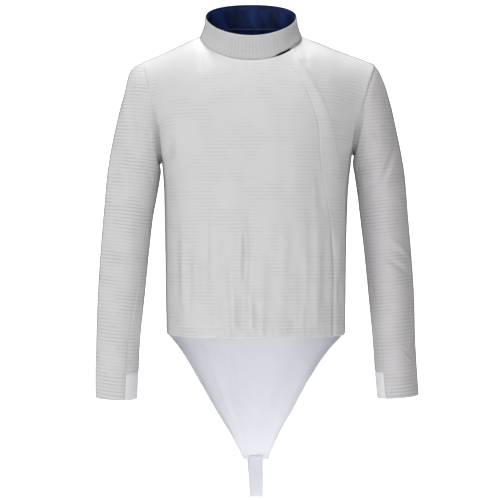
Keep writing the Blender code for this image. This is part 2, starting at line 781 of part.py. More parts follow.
def main():
    for item in list(bpy.data.objects):
        bpy.data.objects.remove(item, do_unlink=True)
    collection = bpy.data.collections.new("fencing_lame")
    bpy.context.scene.collection.children.link(collection)
    materials = {name: cloth_material(name, *look) for name, look in COLOURS.items()}
    panels = body_panels() + sleeve_panels(RIGHT, "right") + sleeve_panels(LEFT, "left")
    panels += collar_panels() + [strap_panel(), loop_panel()]
    share_normals(panels)
    for panel in panels:
        wall(panel, collection, materials)


main()
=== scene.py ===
"""Looks of a fencing lame: a sabre jacket of metallic cloth, filled out with nobody in it.

Each cut piece is made again here as a finer shell on the form of its solid, with its own folds,
seams and stitching, and stands for the node of that name. Forms are in millimetres. The front
faces -Y, and the wearer's right is at -X.
"""

import functools

import bmesh
import bpy
import numpy as np
from mathutils import Matrix, Vector
from mathutils.kdtree import KDTree


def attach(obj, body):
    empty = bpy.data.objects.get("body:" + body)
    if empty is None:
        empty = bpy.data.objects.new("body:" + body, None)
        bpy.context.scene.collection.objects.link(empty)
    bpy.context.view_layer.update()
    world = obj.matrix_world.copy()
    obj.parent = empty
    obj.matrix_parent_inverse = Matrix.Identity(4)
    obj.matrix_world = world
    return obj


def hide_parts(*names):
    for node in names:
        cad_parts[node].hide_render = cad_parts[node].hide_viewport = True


MM = 0.001
RIGHT = -1
LEFT = 1
FRONT = -1
BACK = 1

# Thickness of the cloths and the gap that their solids keep at a seam.
CLOTH = 1.6
LINING = 1.0
WHITE_CLOTH = 1.4
WEBBING = 1.8
SEAM_GAP = 0.3

# Body, level by level. Columns: height, right and left side seam, reach to the front and back.
BODY = (
    (-537.0, -158.5, 160.5, 112.0, 112.0),
    (-480.0, -160.5, 161.5, 112.0, 109.0),
    (-400.0, -161.5, 162.5, 114.0, 107.0),
    (-330.0, -163.0, 164.0, 117.0, 109.0),
    (-270.0, -164.5, 166.5, 119.0, 114.0),
    (-220.0, -168.5, 172.0, 118.0, 118.0),
)
BODY_SQUARENESS = 2.45
TURN = 2 * np.pi
HEM_SIDE = -533.0
HEM_MIDDLE = -537.0
ARMPIT = 0.5

# Armholes: shoulder tip x and z, armpit z, and how far the seam bows to the front and back.
ARMHOLE = {RIGHT: (-204.0, -46.0, -229.0), LEFT: (216.0, -50.5, -213.0)}
ARMHOLE_DEPTH = {FRONT: 57.0, BACK: 60.0}
ARMHOLE_MEAN_DEPTH = 58.5
ARMHOLE_BOW = {FRONT: -5.0, BACK: -1.0}
ARMHOLE_REACH = 0.3
ARMHOLE_SETTLE = 0.12

# Neck ring. Columns: rise, half width, half depth, middle y and z, pitch, saddle.
NECK = (
    (0.0, 91.5, 74.0, -11.5, -14.0, 37.0, 12.0),
    (0.3, 86.5, 71.0, -11.0, 0.0, 37.0, 10.5),
    (1.0, 81.5, 67.0, -9.0, 30.0, 37.0, 6.0),
)
NECK_X = -8.0
SHOULDER_SEAM_ANGLE = 8.0
NECK_SHARE = {RIGHT: 0.25, LEFT: 0.71}
NECK_PEAK = 24.0
NECK_SPREAD = 1.5
SHOULDER_PULL = (0.0, 0.99, 0.1)
SEAT_STEPS = 24
SEAT_ROUNDS = 12
SEAT_NUDGE = 1e-4
SEAT_GUESS = 0.8
SEAT_LOWEST = 0.05

# Front opening. Columns: share of the height, and where the fly's seam and edge cross the front.
OPENING = (
    (0.00, 0.848, 0.922),
    (0.20, 0.846, 0.920),
    (0.30, 0.826, 0.915),
    (0.40, 0.793, 0.889),
    (0.50, 0.768, 0.838),
    (0.60, 0.762, 0.820),
    (0.70, 0.722, 0.776),
    (0.80, 0.658, 0.714),
    (0.90, 0.598, 0.658),
    (1.00, 0.554, 0.626),
)
FLY_LIFT = CLOTH + 1.5 * SEAM_GAP
FLY_RAMP = 0.3
FLY_SOFT_RAMP = 0.78
FLY_UNDERLAP = 0.62

# Large folds of the solids. Columns: across, up, half width, half height (shares), height.
LARGE_FOLDS = {
    FRONT: (
        (0.19, 0.16, 0.030, 0.18, 1.8),
        (0.27, 0.20, 0.034, 0.22, -2.4),
        (0.37, 0.12, 0.036, 0.20, 2.2),
        (0.47, 0.22, 0.022, 0.16, -2.6),
        (0.53, 0.10, 0.030, 0.14, 2.0),
        (0.66, 0.14, 0.040, 0.22, -1.8),
        (0.77, 0.20, 0.036, 0.20, 1.6),
        (0.12, 0.56, 0.045, 0.06, -3.0),
    ),
    BACK: (
        (0.22, 0.20, 0.040, 0.20, 2.2),
        (0.36, 0.30, 0.040, 0.24, -2.8),
        (0.50, 0.22, 0.034, 0.22, 2.4),
        (0.63, 0.32, 0.040, 0.22, -2.6),
        (0.79, 0.18, 0.038, 0.20, 2.2),
        (0.14, 0.58, 0.050, 0.07, -3.2),
        (0.86, 0.58, 0.050, 0.07, -3.2),
    ),
}

# Sleeves from the armhole down. Columns: outer x, outer z, inner x, inner z, middle y, half
# depth, and the angles of the front and back seam of the under sleeve.
SLEEVE = {
    RIGHT: (
        (-220.5, -56.0, -169.6, -236.0, 1.0, 58.0, 151.0, 151.0),
        (-237.0, -106.0, -170.8, -246.0, 2.0, 58.0, 151.0, 150.0),
        (-254.5, -175.0, -173.5, -263.0, 4.0, 57.0, 151.0, 148.0),
        (-265.5, -236.0, -178.0, -288.0, 5.0, 55.5, 151.0, 146.0),
        (-273.0, -309.0, -185.0, -325.0, 6.0, 53.5, 151.0, 142.0),
        (-278.0, -368.0, -190.5, -372.0, 5.0, 52.0, 146.0, 138.0),
        (-283.0, -464.0, -199.0, -466.0, -5.0, 50.0, 133.0, 130.0),
        (-284.8, -544.0, -206.5, -545.0, -17.0, 46.5, 124.0, 125.0),
        (-285.2, -609.5, -209.0, -609.5, -28.0, 44.0, 121.0, 122.0),
        (-284.0, -645.0, -210.5, -648.0, -34.0, 43.0, 120.0, 120.0),
    ),
    LEFT: (
        (230.0, -80.0, 174.6, -221.0, 1.0, 58.0, 151.0, 151.0),
        (243.0, -121.0, 176.2, -234.0, 2.0, 58.0, 151.0, 150.0),
        (256.5, -181.0, 179.2, -251.0, 4.0, 57.0, 151.0, 148.0),
        (268.0, -246.0, 184.5, -288.0, 5.0, 55.5, 153.0, 146.0),
        (274.8, -322.0, 189.0, -327.0, 6.0, 53.5, 156.0, 142.0),
        (279.5, -377.0, 195.0, -379.0, 5.0, 52.0, 156.0, 138.0),
        (284.3, -462.0, 202.8, -462.0, -5.0, 50.0, 150.0, 130.0),
        (285.5, -547.0, 210.0, -545.0, -17.0, 46.5, 138.0, 125.0),
        (287.8, -607.0, 213.5, -608.0, -28.0, 44.0, 134.0, 122.0),
        (289.5, -640.0, 216.0, -646.0, -34.0, 43.0, 132.0, 120.0),
    ),
}
UNDER_SEAM_AT_ARMHOLE = 180 * (1 - (3 / 13) ** 1.25)
GUSSET_START = 0.915

# Sleeve folds. Columns: angle, share of the way down, half angle, half length, height, slant.
SLEEVE_FOLDS = {
    RIGHT: (
        (60.0, 0.20, 40.0, 0.035, 2.0, 0.05),
        (75.0, 0.52, 45.0, 0.022, -2.8, 0.05),
        (50.0, 0.58, 45.0, 0.020, 2.0, -0.04),
        (-70.0, 0.50, 45.0, 0.030, 2.6, 0.05),
        (-90.0, 0.27, 45.0, 0.035, -2.6, -0.05),
        (80.0, 0.86, 40.0, 0.020, -1.8, 0.03),
    ),
    LEFT: (
        (70.0, 0.22, 40.0, 0.030, -2.6, 0.06),
        (60.0, 0.49, 45.0, 0.022, 2.4, -0.05),
        (75.0, 0.55, 45.0, 0.022, -2.8, -0.04),
        (-75.0, 0.51, 45.0, 0.030, 2.6, 0.05),
        (-85.0, 0.28, 45.0, 0.035, -2.6, -0.05),
        (40.0, 0.83, 40.0, 0.018, -2.2, 0.06),
    ),
}

# Collar: where its strip ends, and where the lap lifts and rises over the strip's start.
COLLAR_END = 350.0
COLLAR_LIFT_ANGLES = (288.0, 316.0)
COLLAR_RAISE_ANGLES = (293.0, 306.0)
COLLAR_LAP_LIFT = CLOTH + SEAM_GAP
COLLAR_LAP_RAISE = 0.075
LINING_ANGLES = (-36.0, 310.0)
LINING_RISE = (0.05, 0.79)

# Crotch strap. Columns: depth under the origin, right and left edge, edge y, middle y.
STRAP = (
    (535.0, -158.5, 160.5, 0.0, 112.0),
    (564.0, -137.0, 135.5, 22.0, 110.0),
    (629.0, -100.6, 94.4, 52.0, 104.0),
    (677.0, -74.5, 69.5, 65.0, 97.0),
    (734.0, -41.6, 39.7, 79.0, 88.0),
    (772.0, -22.7, 25.0, 83.0, 83.4),
)
STRAP_SETTLE = 0.3

# Webbing loop, from the front of the strap's tip down, round and up behind it. Columns: x, y, z.
LOOP = (
    (0.0, 81.0, -764.0),
    (0.0, 81.0, -774.0),
    (0.0, 78.4, -788.0),
    (0.0, 75.8, -806.0),
    (0.0, 75.2, -822.0),
    (0.0, 77.2, -834.0),
    (0.0, 83.3, -840.4),
    (-0.2, 89.6, -834.0),
    (-0.6, 91.4, -822.0),
    (-1.6, 90.6, -806.0),
    (-3.0, 88.4, -788.0),
    (-4.4, 85.6, -774.0),
    (-5.0, 85.5, -765.0),
)
LOOP_WIDTH = 25.6
LOOP_X = 1.5

# Grids of the shells: their spacing, and the closer steps on each side of a seam or a stitch line.
SPACING = 2.8
NEAR_STEPS = (-1.5, -0.6, 0.0, 0.6, 1.5)
HALF_GIRTH = 450.0
BODY_BELOW = 312.0
BODY_ABOVE = 250.0
SLEEVE_LENGTH = 610.0
SLEEVE_UPPER_GIRTH = 250.0
SLEEVE_UNDER_GIRTH = 90.0
COLLAR_HEIGHT = 46.0
STRAP_GIRTH = 360.0

SHARP_ANGLE = 50.0
RULER_STEPS = 60
RIB_DROOP = 7.0
WEBBING_COLUMNS = 60
WEBBING_SPACING = 1.8
WEBBING_RIBS = 14
WEBBING_RIB = 0.16

# Seams: how deep and wide the cloth is drawn in, over what distance its folds fade out at them,
# the turned-in cloth inside, and where the puckers begin beside a seam and fade away.
SEAM_DEPTH = 0.8
SEAM_WIDTH = 1.5
SEAM_FADE = 10.0
ALLOWANCE = 2.5
ALLOWANCE_WIDTH = 1.2
PUCKERS_BEGIN = 3.0
PUCKERS_FADE = 9.0
NECK_SEAM_DEPTH = 1.4
ARMHOLE_SEAM = {RIGHT: {"depth": 0.8, "width": 1.5}, LEFT: {"depth": 2.0, "width": 1.2}}
SLEEVE_HEAD_SEAM = {RIGHT: {"depth": 0.8, "width": 2.5}, LEFT: {"depth": 2.0, "width": 6.0}}

# The fly's seam, which deepens to a groove below a height, and how thin and how far in the fly's
# free edge is pressed above another.
FLY_SEAM_DEPTH = 0.5
FLY_GROOVE_DEPTH = 3.4
FLY_GROOVE_TOP = -340.0
FLY_GROOVE_FADE = 30.0
FLY_PUCKER = 0.45
FLY_PUCKERS_FADE = 11.0
FLY_THIN_FROM = -130.0
FLY_THIN_FADE = 60.0
FLY_THINNED = 1.1
FLY_THIN_WIDTH = 9.0

# Under each arm: how far the cloth sinks in, how wide the fold is, the height it starts at, how far
# it deepens from there, how far it runs on below the armpit, and over what distance it ends.
ARMPIT_SINK = {RIGHT: 9.0, LEFT: 6.0}
ARMPIT_FOLD_WIDTH = 7.0
ARMPIT_FOLD_TOP = -100.0
ARMPIT_FOLD_DEEPENS = 90.0
ARMPIT_FOLD_BELOW = 60.0
ARMPIT_FOLD_END = 50.0

# Two rims meet where they lie this near, and their common normal reaches this far in.
MEETING = 2.5
NORMAL_REACH = 5.0
NORMAL_STEP = 1e-3

# Below the neck's corners the cloth is evened out: how far from them, over what distance this
# fades, how far it keeps from the fly, and how often neighbours are averaged.
SOFT_REACH = 125.0
SOFT_FADE = 40.0
SOFT_FROM_FLY = 14.0
SOFT_SHARE = 0.5
SOFT_ROUNDS = 240

# Sewing: how far each stitch line lies from its edge, how the cloth is pressed along it, the
# thickness of the strap's turned-in hem, and the thread.
HEM_DEPTH = 18.0
CUFF_DEPTH = 20.0
FLY_STITCH = 3.0
STITCH_GROOVE_WIDTH = 0.9
STITCH_PUCKERS_FADE = 8.0
EDGE_ROUNDING = 1.5
EDGE_THINNED = 0.7
COLLAR_TURN_IN = 9.0
COLLAR_SIDE_SEAM = 0.617
COLLAR_LINED_RIM = (0.1, 0.6)
STRAP_HEM = 5.0
STRAP_HEM_RAMP = 0.8
STRAP_TURN_IN = 0.7
STRAP_STITCH = STRAP_HEM - STRAP_HEM_RAMP
STITCH_PITCH = 3.1
STITCH_LENGTH = 2.4
THREAD_RADIUS = 0.26

# The pucker over the front of the collar: its middle x, half width, height over the neck seam,
# depth and width. Then the crease at the collar's side seam.
COLLAR_PUCKER_X = -14.0
COLLAR_PUCKER_REACH = 36.0
COLLAR_PUCKER_RISE = 12.0
COLLAR_PUCKER_DEPTH = 0.9
COLLAR_PUCKER_WIDTH = 1.8
COLLAR_CREASE_DEPTH = 0.7
COLLAR_CREASE_REACH = 3.0
COLLAR_SPACING = 2.4
LINING_FOLD = 0.5

# How fast a crease fades at its ends, and the fine creases of the front and back, as seen straight
# on. Columns: x in the middle, top, bottom, half width, height, and how far it leans to +X from top
# to bottom.
CREASE_FADE = 3.2
CREASES = {
    FRONT: (
        (-138.0, -300.0, -500.0, 9.0, -1.6, 4.0),
        (-127.0, -330.0, -505.0, 8.0, 1.4, -3.0),
        (-115.0, -375.0, -515.0, 7.0, -2.2, -3.0),
        (-104.5, -350.0, -470.0, 8.0, 1.8, 2.0),
        (-95.0, -392.0, -462.0, 5.5, -1.4, 2.0),
        (-83.0, -285.0, -420.0, 7.0, -1.5, 3.0),
        (-70.0, -330.0, -480.0, 16.0, 3.2, -4.0),
        (-73.0, -462.0, -520.0, 6.0, -1.5, 0.0),
        (-58.0, -440.0, -512.0, 7.0, -1.6, 4.0),
        (-46.0, -385.0, -485.0, 8.0, -2.2, 4.0),
        (-37.0, -452.0, -529.0, 5.5, 2.6, 2.0),
        (-26.0, -345.0, -445.0, 5.0, 1.4, -1.0),
        (-24.5, -450.0, -526.0, 6.0, -1.6, 0.0),
        (-20.0, -340.0, -450.0, 5.0, -2.6, -1.0),
        (-7.0, -444.0, -531.0, 5.0, 2.4, 1.0),
        (3.0, -470.0, -529.0, 5.5, -1.2, 0.0),
        (11.0, -502.0, -531.0, 4.8, 1.6, 0.0),
        (30.0, -370.0, -505.0, 14.0, -1.4, 6.0),
        (52.0, -320.0, -480.0, 14.0, 1.5, 8.0),
        (66.0, -498.0, -529.0, 6.0, -1.6, 3.0),
        (77.0, -380.0, -500.0, 11.0, -1.7, 5.0),
        (82.0, -470.0, -530.0, 6.0, 1.5, -3.0),
        (97.0, -290.0, -450.0, 11.0, -1.4, 7.0),
        (106.0, -430.0, -520.0, 8.0, 1.6, 2.0),
        (113.0, -240.0, -330.0, 11.0, -1.6, 8.0),
        (121.0, -355.0, -500.0, 9.0, -1.8, 2.0),
        (146.0, -350.0, -430.0, 5.0, 1.6, 0.0),
        (147.0, -432.0, -482.0, 4.5, -2.2, 1.0),
        (-95.0, -22.0, -72.0, 6.0, -1.0, -3.0),
        (88.0, -28.0, -66.0, 11.0, -1.6, 4.0),
        (75.0, -38.0, -78.0, 6.0, 1.4, 12.0),
    ),
    BACK: (
        (-128.0, -330.0, -520.0, 9.0, -2.0, 4.0),
        (-104.0, -300.0, -505.0, 10.0, 2.2, -4.0),
        (-82.0, -400.0, -525.0, 7.0, -1.9, 3.0),
        (-55.0, -280.0, -450.0, 13.0, 2.6, 6.0),
        (-31.0, -430.0, -530.0, 5.5, 2.0, -2.0),
        (-18.0, -330.0, -450.0, 6.0, -2.3, 2.0),
        (4.0, -465.0, -531.0, 5.0, 2.0, 1.0),
        (27.0, -300.0, -480.0, 12.0, -2.2, -6.0),
        (52.0, -350.0, -520.0, 9.0, 2.3, 3.0),
        (76.0, -290.0, -430.0, 10.0, -1.8, 5.0),
        (98.0, -440.0, -528.0, 6.0, 1.9, -2.0),
        (124.0, -330.0, -510.0, 9.0, -2.0, -4.0),
    ),
}

# Fine creases of the sleeves. Columns: angle, height of the middle, half angle, half length,
# height, and how far the crease climbs over its half angle.
SLEEVE_CREASES = {
    RIGHT: (
        (25.0, -575.0, 5.0, 50.0, -0.9, 0.0),
        (100.0, -205.0, 12.0, 30.0, -1.2, 8.0),
        (120.0, -262.0, 30.0, 7.0, -1.0, 6.0),
        (112.0, -300.0, 30.0, 6.0, 0.9, 5.0),
        (70.0, -432.0, 40.0, 8.0, 0.7, 9.0),
        (105.0, -500.0, 30.0, 6.0, -0.8, 6.0),
        (60.0, -604.0, 45.0, 5.0, -0.7, 3.0),
        (-60.0, -345.0, 40.0, 8.0, -1.4, 10.0),
        (-80.0, -390.0, 40.0, 7.0, 1.3, 8.0),
        (-95.0, -430.0, 35.0, 7.0, -1.3, -9.0),
        (-55.0, -520.0, 40.0, 6.0, 0.9, 7.0),
        (-100.0, -585.0, 35.0, 6.0, -1.0, 6.0),
    ),
    LEFT: (
        (94.0, -184.0, 6.0, 20.0, 2.6, 0.0),
        (101.0, -176.0, 6.0, 16.0, -1.8, 0.0),
        (60.0, -565.0, 22.0, 3.6, -1.5, 11.0),
        (60.0, -572.0, 22.0, 4.0, 1.1, 11.0),
        (48.0, -600.0, 12.0, 5.0, -1.0, -5.0),
        (104.0, -330.0, 8.0, 5.0, -1.1, 4.0),
        (96.0, -346.0, 8.0, 5.0, -1.1, 4.0),
        (104.0, -362.0, 8.0, 5.0, -1.0, 4.0),
        (84.0, -384.0, 9.0, 6.0, -1.1, 5.0),
        (55.0, -290.0, 45.0, 8.0, 0.8, -8.0),
        (118.0, -268.0, 30.0, 7.0, -1.3, -6.0),
        (80.0, -455.0, 45.0, 7.0, -0.8, -7.0),
        (-60.0, -350.0, 40.0, 8.0, -1.4, -10.0),
        (-85.0, -395.0, 40.0, 7.0, 1.3, -8.0),
        (-90.0, -440.0, 35.0, 7.0, -1.2, 9.0),
        (-60.0, -530.0, 40.0, 6.0, 0.9, -7.0),
        (-95.0, -590.0, 35.0, 6.0, -1.0, -6.0),
    ),
}

# Soft folds of the crotch strap, fanned out from its tip. Columns: share across at the hem, half
# width there, height.
STRAP_FOLDS = (
    (0.14, 0.07, 1.6),
    (0.27, 0.06, -1.8),
    (0.38, 0.05, 1.3),
    (0.52, 0.07, -1.6),
    (0.66, 0.05, 1.6),
    (0.78, 0.06, -1.8),
    (0.88, 0.05, 1.2),
)

# Weave of the metallic cloth: the distance between its cross ribs, how far they wander and how high
# they are, where from a rib's middle its line begins and is full, and the noise between which a
# patch of clearer ribs begins and is full.
RIB_PITCH = 6.25
RIB_WAVER = 0.5
RIB_RELIEF = 0.06
RIB_LINE = (0.22, 0.5)
RIB_PATCH = (0.44, 0.6)

# How far the cloth has to turn away from view before a painted shade darkens its colour, from the
# first trace to the full painted shade, and the noise between which the lining's painted sheen
# streaks begin and are full.
TURNED_AWAY = (0.66, 0.96)
PAINTED_EDGE_SHADE = 0.25
LINING_SHEEN = (0.42, 0.68)

# The metallic cloths. Columns: name, colour, shade of its rib lines, how strong the ribs are at
# least, and the two heights in metres up the flat cloth between which they fade out.
SILVER = (0.55, 0.55, 0.557)
# The left sleeve's darker, warmer silver is painted shade, as that sleeve hangs turned away from the
# light.
LEFT_SLEEVE_PAINTED_SHADE_SILVER = (0.518, 0.505, 0.516)
# The collar's darker silver is painted shade, for the weaker sheen its crosswise ribs catch from the
# top light.
COLLAR_PAINTED_SHADE_SILVER = (0.455, 0.455, 0.462)
NOWHERE = (8.0, 9.0)
LAMES = {
    "lame": ("lame of the body", SILVER, 0.9, 0.12, (0.42, 0.54)),
    "right lame": ("lame of the right sleeve", SILVER, 0.8, 0.4, NOWHERE),
    "left lame": ("lame of the left sleeve in painted shade", LEFT_SLEEVE_PAINTED_SHADE_SILVER, 0.82, 0.4, NOWHERE),
    "crosswise lame in painted shade": ("crosswise lame in painted shade", COLLAR_PAINTED_SHADE_SILVER, 0.9, 0.2, NOWHERE),
}

# Colours of the other cloths and of the sewing thread.
DARK_BLUE = (0.002, 0.006, 0.042)
LIGHT_BLUE = (0.007, 0.03, 0.16)
STRAP_WHITE = (0.76, 0.77, 0.84)
CUFF_WHITE = (0.64, 0.64, 0.66)
WEBBING_WHITE = (0.80, 0.81, 0.87)
WEBBING_GROOVE_SHADE = (0.62, 0.63, 0.70)
SILVER_THREAD = (0.72, 0.72, 0.72)
WHITE_THREAD = (0.82, 0.83, 0.88)

# Camera, at the photograph's angle: its place, and the lens for a 36 mm sensor.
CAMERA_PLACE = (-0.0099, -2.8, -0.3834)
CAMERA_LENS = 112.0
FLOOR_HEIGHT = -0.95
FLOOR_FRONT = -5.0
FLOOR_BACK = 3.4
FLOOR_RADIUS = 0.7
WALL_HEIGHT = 3.6
BACKDROP_HALF_WIDTH = 5.0

# How white the paper behind the garment shows, and how much of that light it gives back.
PAPER_WHITE = 0.95
PAPER_GLOW = 0.32

# Soft lights. Columns: name, place, target, width and height, watts.
ROOM_LIGHT = 0.08
LIGHTS = (
    ("top light", (-0.1, -0.2, 2.0), (0.0, 0.0, -0.2), (1.6, 1.2), 46.0),
    ("back top light", (0.0, 0.7, 1.8), (0.0, 0.0, -0.2), (1.2, 0.8), 20.0),
    ("chest light", (0.08, -0.8, 0.02), (0.05, -0.1, -0.13), (0.5, 0.2), 1.4),
    ("left chest light", (0.5, -1.0, 0.6), (0.1, -0.1, -0.1), (0.4, 0.4), 2.6),
    ("side light", (-1.4, -0.7, 0.2), (-0.2, 0.0, -0.3), (0.5, 1.0), 7.2),
    ("rim light", (-2.4, 0.9, 0.3), (-0.2, 0.0, -0.3), (0.8, 1.2), 12.0),
    ("sleeve light", (-0.9, -1.6, 0.0), (0.25, 0.0, -0.4), (0.4, 1.0), 2.0),
    ("strap light", (0.0, -0.9, -0.93), (0.0, 0.08, -0.58), (1.8, 0.08), 4.6),
)


def points_of(x, y, z):
    return np.stack(np.broadcast_arrays(x, y, z), axis=-1)


def hermite(start, leave, end, arrive, t):
    """The cubic from start to end that leaves and arrives with the given speeds."""
    square = t * t
    cube = square * t
    return (
        start * (2 * cube - 3 * square + 1)
        + leave * (cube - 2 * square + t)
        + end * (3 * square - 2 * cube)
        + arrive * (cube - square)
    )


def smooth(table, at):
    """A smooth curve through a table's rows, read at any values of its first column."""
    table = np.asarray(table, float)
    at = np.asarray(at, float)
    stations, values = table[:, 0], table[:, 1:]
    slopes = np.gradient(values, stations, axis=0)
    i = np.clip(np.searchsorted(stations, at) - 1, 0, len(stations) - 2)
    span = (stations[i + 1] - stations[i])[..., None]
    t = (at - stations[i])[..., None] / span
    return hermite(values[i], slopes[i] * span, values[i + 1], slopes[i + 1] * span, t)


def columns_of(values):
    return np.moveaxis(values, -1, 0)


def ease(t):
    """0 to 1 with flat ends."""
    t = np.clip(t, 0.0, 1.0)
    return t * t * (3 - 2 * t)


def bump(offset, reach):
    """1 in the middle of a fold, falling to nothing at its reach."""
    distance = np.minimum(np.abs(offset) / reach, 1.0)
    return (1 - distance * distance) ** 2


def body_point(face, across, height):
    """A point of the body's outline; across runs from the right side seam to the left one."""
    right, left, front, back = columns_of(smooth(BODY, height))
    half = (left - right) / 2
    depth = front if face == FRONT else back
    angle = np.pi * (1 - across)
    turn, stand = np.cos(angle), np.sin(angle)
    corner = BODY_SQUARENESS
    reach = (np.abs(turn / half) ** corner + np.abs(stand / depth) ** corner) ** (-1 / corner)
    return points_of((left + right) / 2 + reach * turn, face * reach * stand, height)


def armpit_height(across):
    right, left = ARMHOLE[RIGHT][2], ARMHOLE[LEFT][2]
    return right + (left - right) * across


def hem_height(across):
    return HEM_SIDE + (HEM_MIDDLE - HEM_SIDE) * np.sin(np.pi * across)


def shoulder_tip(side):
    tip_x, tip_z, _ = ARMHOLE[side]
    return np.array([tip_x, 0.0, tip_z])


def armpit(side):
    return body_point(FRONT, 0.0 if side == RIGHT else 1.0, ARMHOLE[side][2])


def turned_by(angle):
    return np.cos(np.radians(angle)), np.sin(np.radians(angle))


def armhole(side, angle):
    """The armhole seam; 0 is the shoulder's tip, 90 the front, 180 the armpit and -90 the back."""
    tip, pit = shoulder_tip(side), armpit(side)
    turn, stand = turned_by(np.asarray(angle, float))
    ahead = stand >= 0
    depth = np.where(ahead, ARMHOLE_DEPTH[FRONT], ARMHOLE_DEPTH[BACK])
    bow = np.where(ahead, ARMHOLE_BOW[FRONT], ARMHOLE_BOW[BACK])
    ring = (tip + pit) / 2 + (tip - pit) / 2 * turn[..., None]
    return ring + points_of(side * bow * stand * stand, -depth * stand, 0.0)


def neck(angle, rise):
    """The neck ring; 0 is the left side, 90 the back, 180 the right side and 270 the front."""
    half_width, half_depth, middle_y, middle_z, pitch, saddle = columns_of(smooth(NECK, rise))
    turn, stand = turned_by(angle)
    return points_of(
        NECK_X + half_width * turn,
        middle_y + half_depth * stand,
        middle_z + pitch * stand + saddle * turn * turn,
    )


def neck_angle(face, across):
    """The angle on the neck ring of a column of the front or back."""
    share = (across - NECK_SHARE[RIGHT]) / (NECK_SHARE[LEFT] - NECK_SHARE[RIGHT])
    start = 180 - SHOULDER_SEAM_ANGLE
    end = SHOULDER_SEAM_ANGLE + (360 if face == FRONT else 0)
    return start + (end - start) * share


@functools.lru_cache(maxsize=None)
def ridge_table():
    """The line over the shoulders, from tip to tip, bridged over the neck's opening."""
    right, left = (neck(neck_angle(FRONT, NECK_SHARE[side]), 0.0) for side in (RIGHT, LEFT))
    peak = (right + left) / 2 + np.array([0.0, 0.0, NECK_PEAK])
    right_tip, left_tip = shoulder_tip(RIGHT), shoulder_tip(LEFT)
    outer_right, outer_left = (right_tip + right) / 2, (left + left_tip) / 2
    points = (right_tip, outer_right, right, peak, left, outer_left, left_tip)
    low, high = NECK_SHARE[RIGHT], NECK_SHARE[LEFT]
    stations = (0.0, low / 2, low, (low + high) / 2, high, (high + 1) / 2, 1.0)
    return np.column_stack([stations, points])


def chest_column(face, across, climb):
    """A column of cloth from the armpit's level over the chest or back to the ridge."""
    across, climb = np.broadcast_arrays(np.asarray(across, float), climb)
    start = body_point(face, across, armpit_height(across))
    end = smooth(ridge_table(), across)
    length = np.linalg.norm(end - start, axis=-1, keepdims=True)
    pull = np.array(SHOULDER_PULL) * (1, -face, 1) * length
    return hermite(start, length * (0.0, 0.0, 1.0), end, pull, climb[..., None])


def chest(face, across, climb):
    """The chest or back as a smooth form without its neck opening, drawn in to the armholes."""
    point = chest_column(face, across, climb)
    for side, edge in ((RIGHT, 0.0), (LEFT, 1.0)):
        near = np.maximum(0.0, 1 - np.abs(across - edge) / ARMHOLE_REACH) ** 2
        seam = armhole(side, -face * 180 * (1 - climb))
        point = point + (seam - chest_column(face, edge, climb)) * near[..., None]
    return point


@functools.lru_cache(maxsize=None)
def neck_seats(face):
    """Where the neck seam lies on the chest's form: its columns and how far up each it comes."""
    columns = np.linspace(NECK_SHARE[RIGHT], NECK_SHARE[LEFT], SEAT_STEPS + 1)
    target = neck(neck_angle(face, columns), 0.0)
    seats = np.column_stack([columns, np.full_like(columns, SEAT_GUESS)])
    for _ in range(SEAT_ROUNDS):
        here = chest(face, *seats.T)
        slopes = np.stack([
            here - chest(face, *(seats - nudge).T) for nudge in np.eye(2) * SEAT_NUDGE
        ], axis=-1) / SEAT_NUDGE
        seats = seats + (np.linalg.pinv(slopes) @ (target - here)[..., None])[..., 0]
        seats = np.clip(seats, SEAT_LOWEST, 1.0)
    seats[0] = NECK_SHARE[RIGHT], 1.0
    seats[-1] = NECK_SHARE[LEFT], 1.0
    return np.column_stack([columns, seats])


def on_chest(face, across, climb):
    """The column and climb of the chest's form that a point of the front or back lies at."""
    inside = (across > NECK_SHARE[RIGHT]) & (across < NECK_SHARE[LEFT])
    held = np.clip(across, NECK_SHARE[RIGHT], NECK_SHARE[LEFT])
    column_end, climb_end = columns_of(smooth(neck_seats(face), held))
    column = np.where(inside, across + (column_end - across) * climb ** NECK_SPREAD, across)
    return inside, column, np.where(inside, climb * climb_end, climb)


def upper_body(face, across, climb):
    """The front or back above the armpit; under the neck its columns end at the neck seam."""
    inside, column, reach = on_chest(face, across, climb)
    held = np.clip(across, NECK_SHARE[RIGHT], NECK_SHARE[LEFT])
    column_end, climb_end = columns_of(smooth(neck_seats(face), held))
    settle = neck(neck_angle(face, across), 0.0) - chest(face, column_end, climb_end)
    settle = settle * (inside * climb * climb)[..., None]
    return chest(face, column, reach) + settle


def body(face, across, up):
    """The outer form of the front or back, from the hem (up 0) over the armpit to the top (1)."""
    across, up = np.broadcast_arrays(np.asarray(across, float), np.asarray(up, float))
    low, high = hem_height(across), armpit_height(across)
    below = body_point(face, across, low + (high - low) * np.minimum(up / ARMPIT, 1.0))
    climb = np.clip((up - ARMPIT) / (1 - ARMPIT), 0.0, 1.0)
    point = np.where((up <= ARMPIT)[..., None], below, upper_body(face, across, climb))
    angle = np.pi * (1 - across)
    outward = points_of(np.cos(angle), face * np.sin(angle), 0.0)
    folds = sum(
        height * bump(across - at_across, half_width) * bump(up - at_up, half_height)
        for at_across, at_up, half_width, half_height, height in LARGE_FOLDS[face]
    )
    return point + outward * folds[..., None]


@functools.lru_cache(maxsize=None)
def chest_ruler(face):
    """How far up the flat cloth each point of the chest's form lies, from the armpit's level."""
    shares = np.linspace(0, 1, RULER_STEPS + 1)
    place = chest(face, *np.meshgrid(shares, shares, indexing="ij"))
    normal = unit(np.cross(np.gradient(place, axis=0), np.gradient(place, axis=1)))
    step = np.diff(place, axis=1)
    lean = np.abs(normal[:, 1:, 2] + normal[:, :-1, 2]) / 2
    length = np.cumsum(np.hypot(step[..., 2], step[..., 1] * lean), axis=1)
    droop = RIB_DROOP * (bump(shares, 0.2) + bump(1 - shares, 0.2))
    return np.pad(length, ((0, 0), (1, 0))) + droop[:, None] * ease(shares * 2)


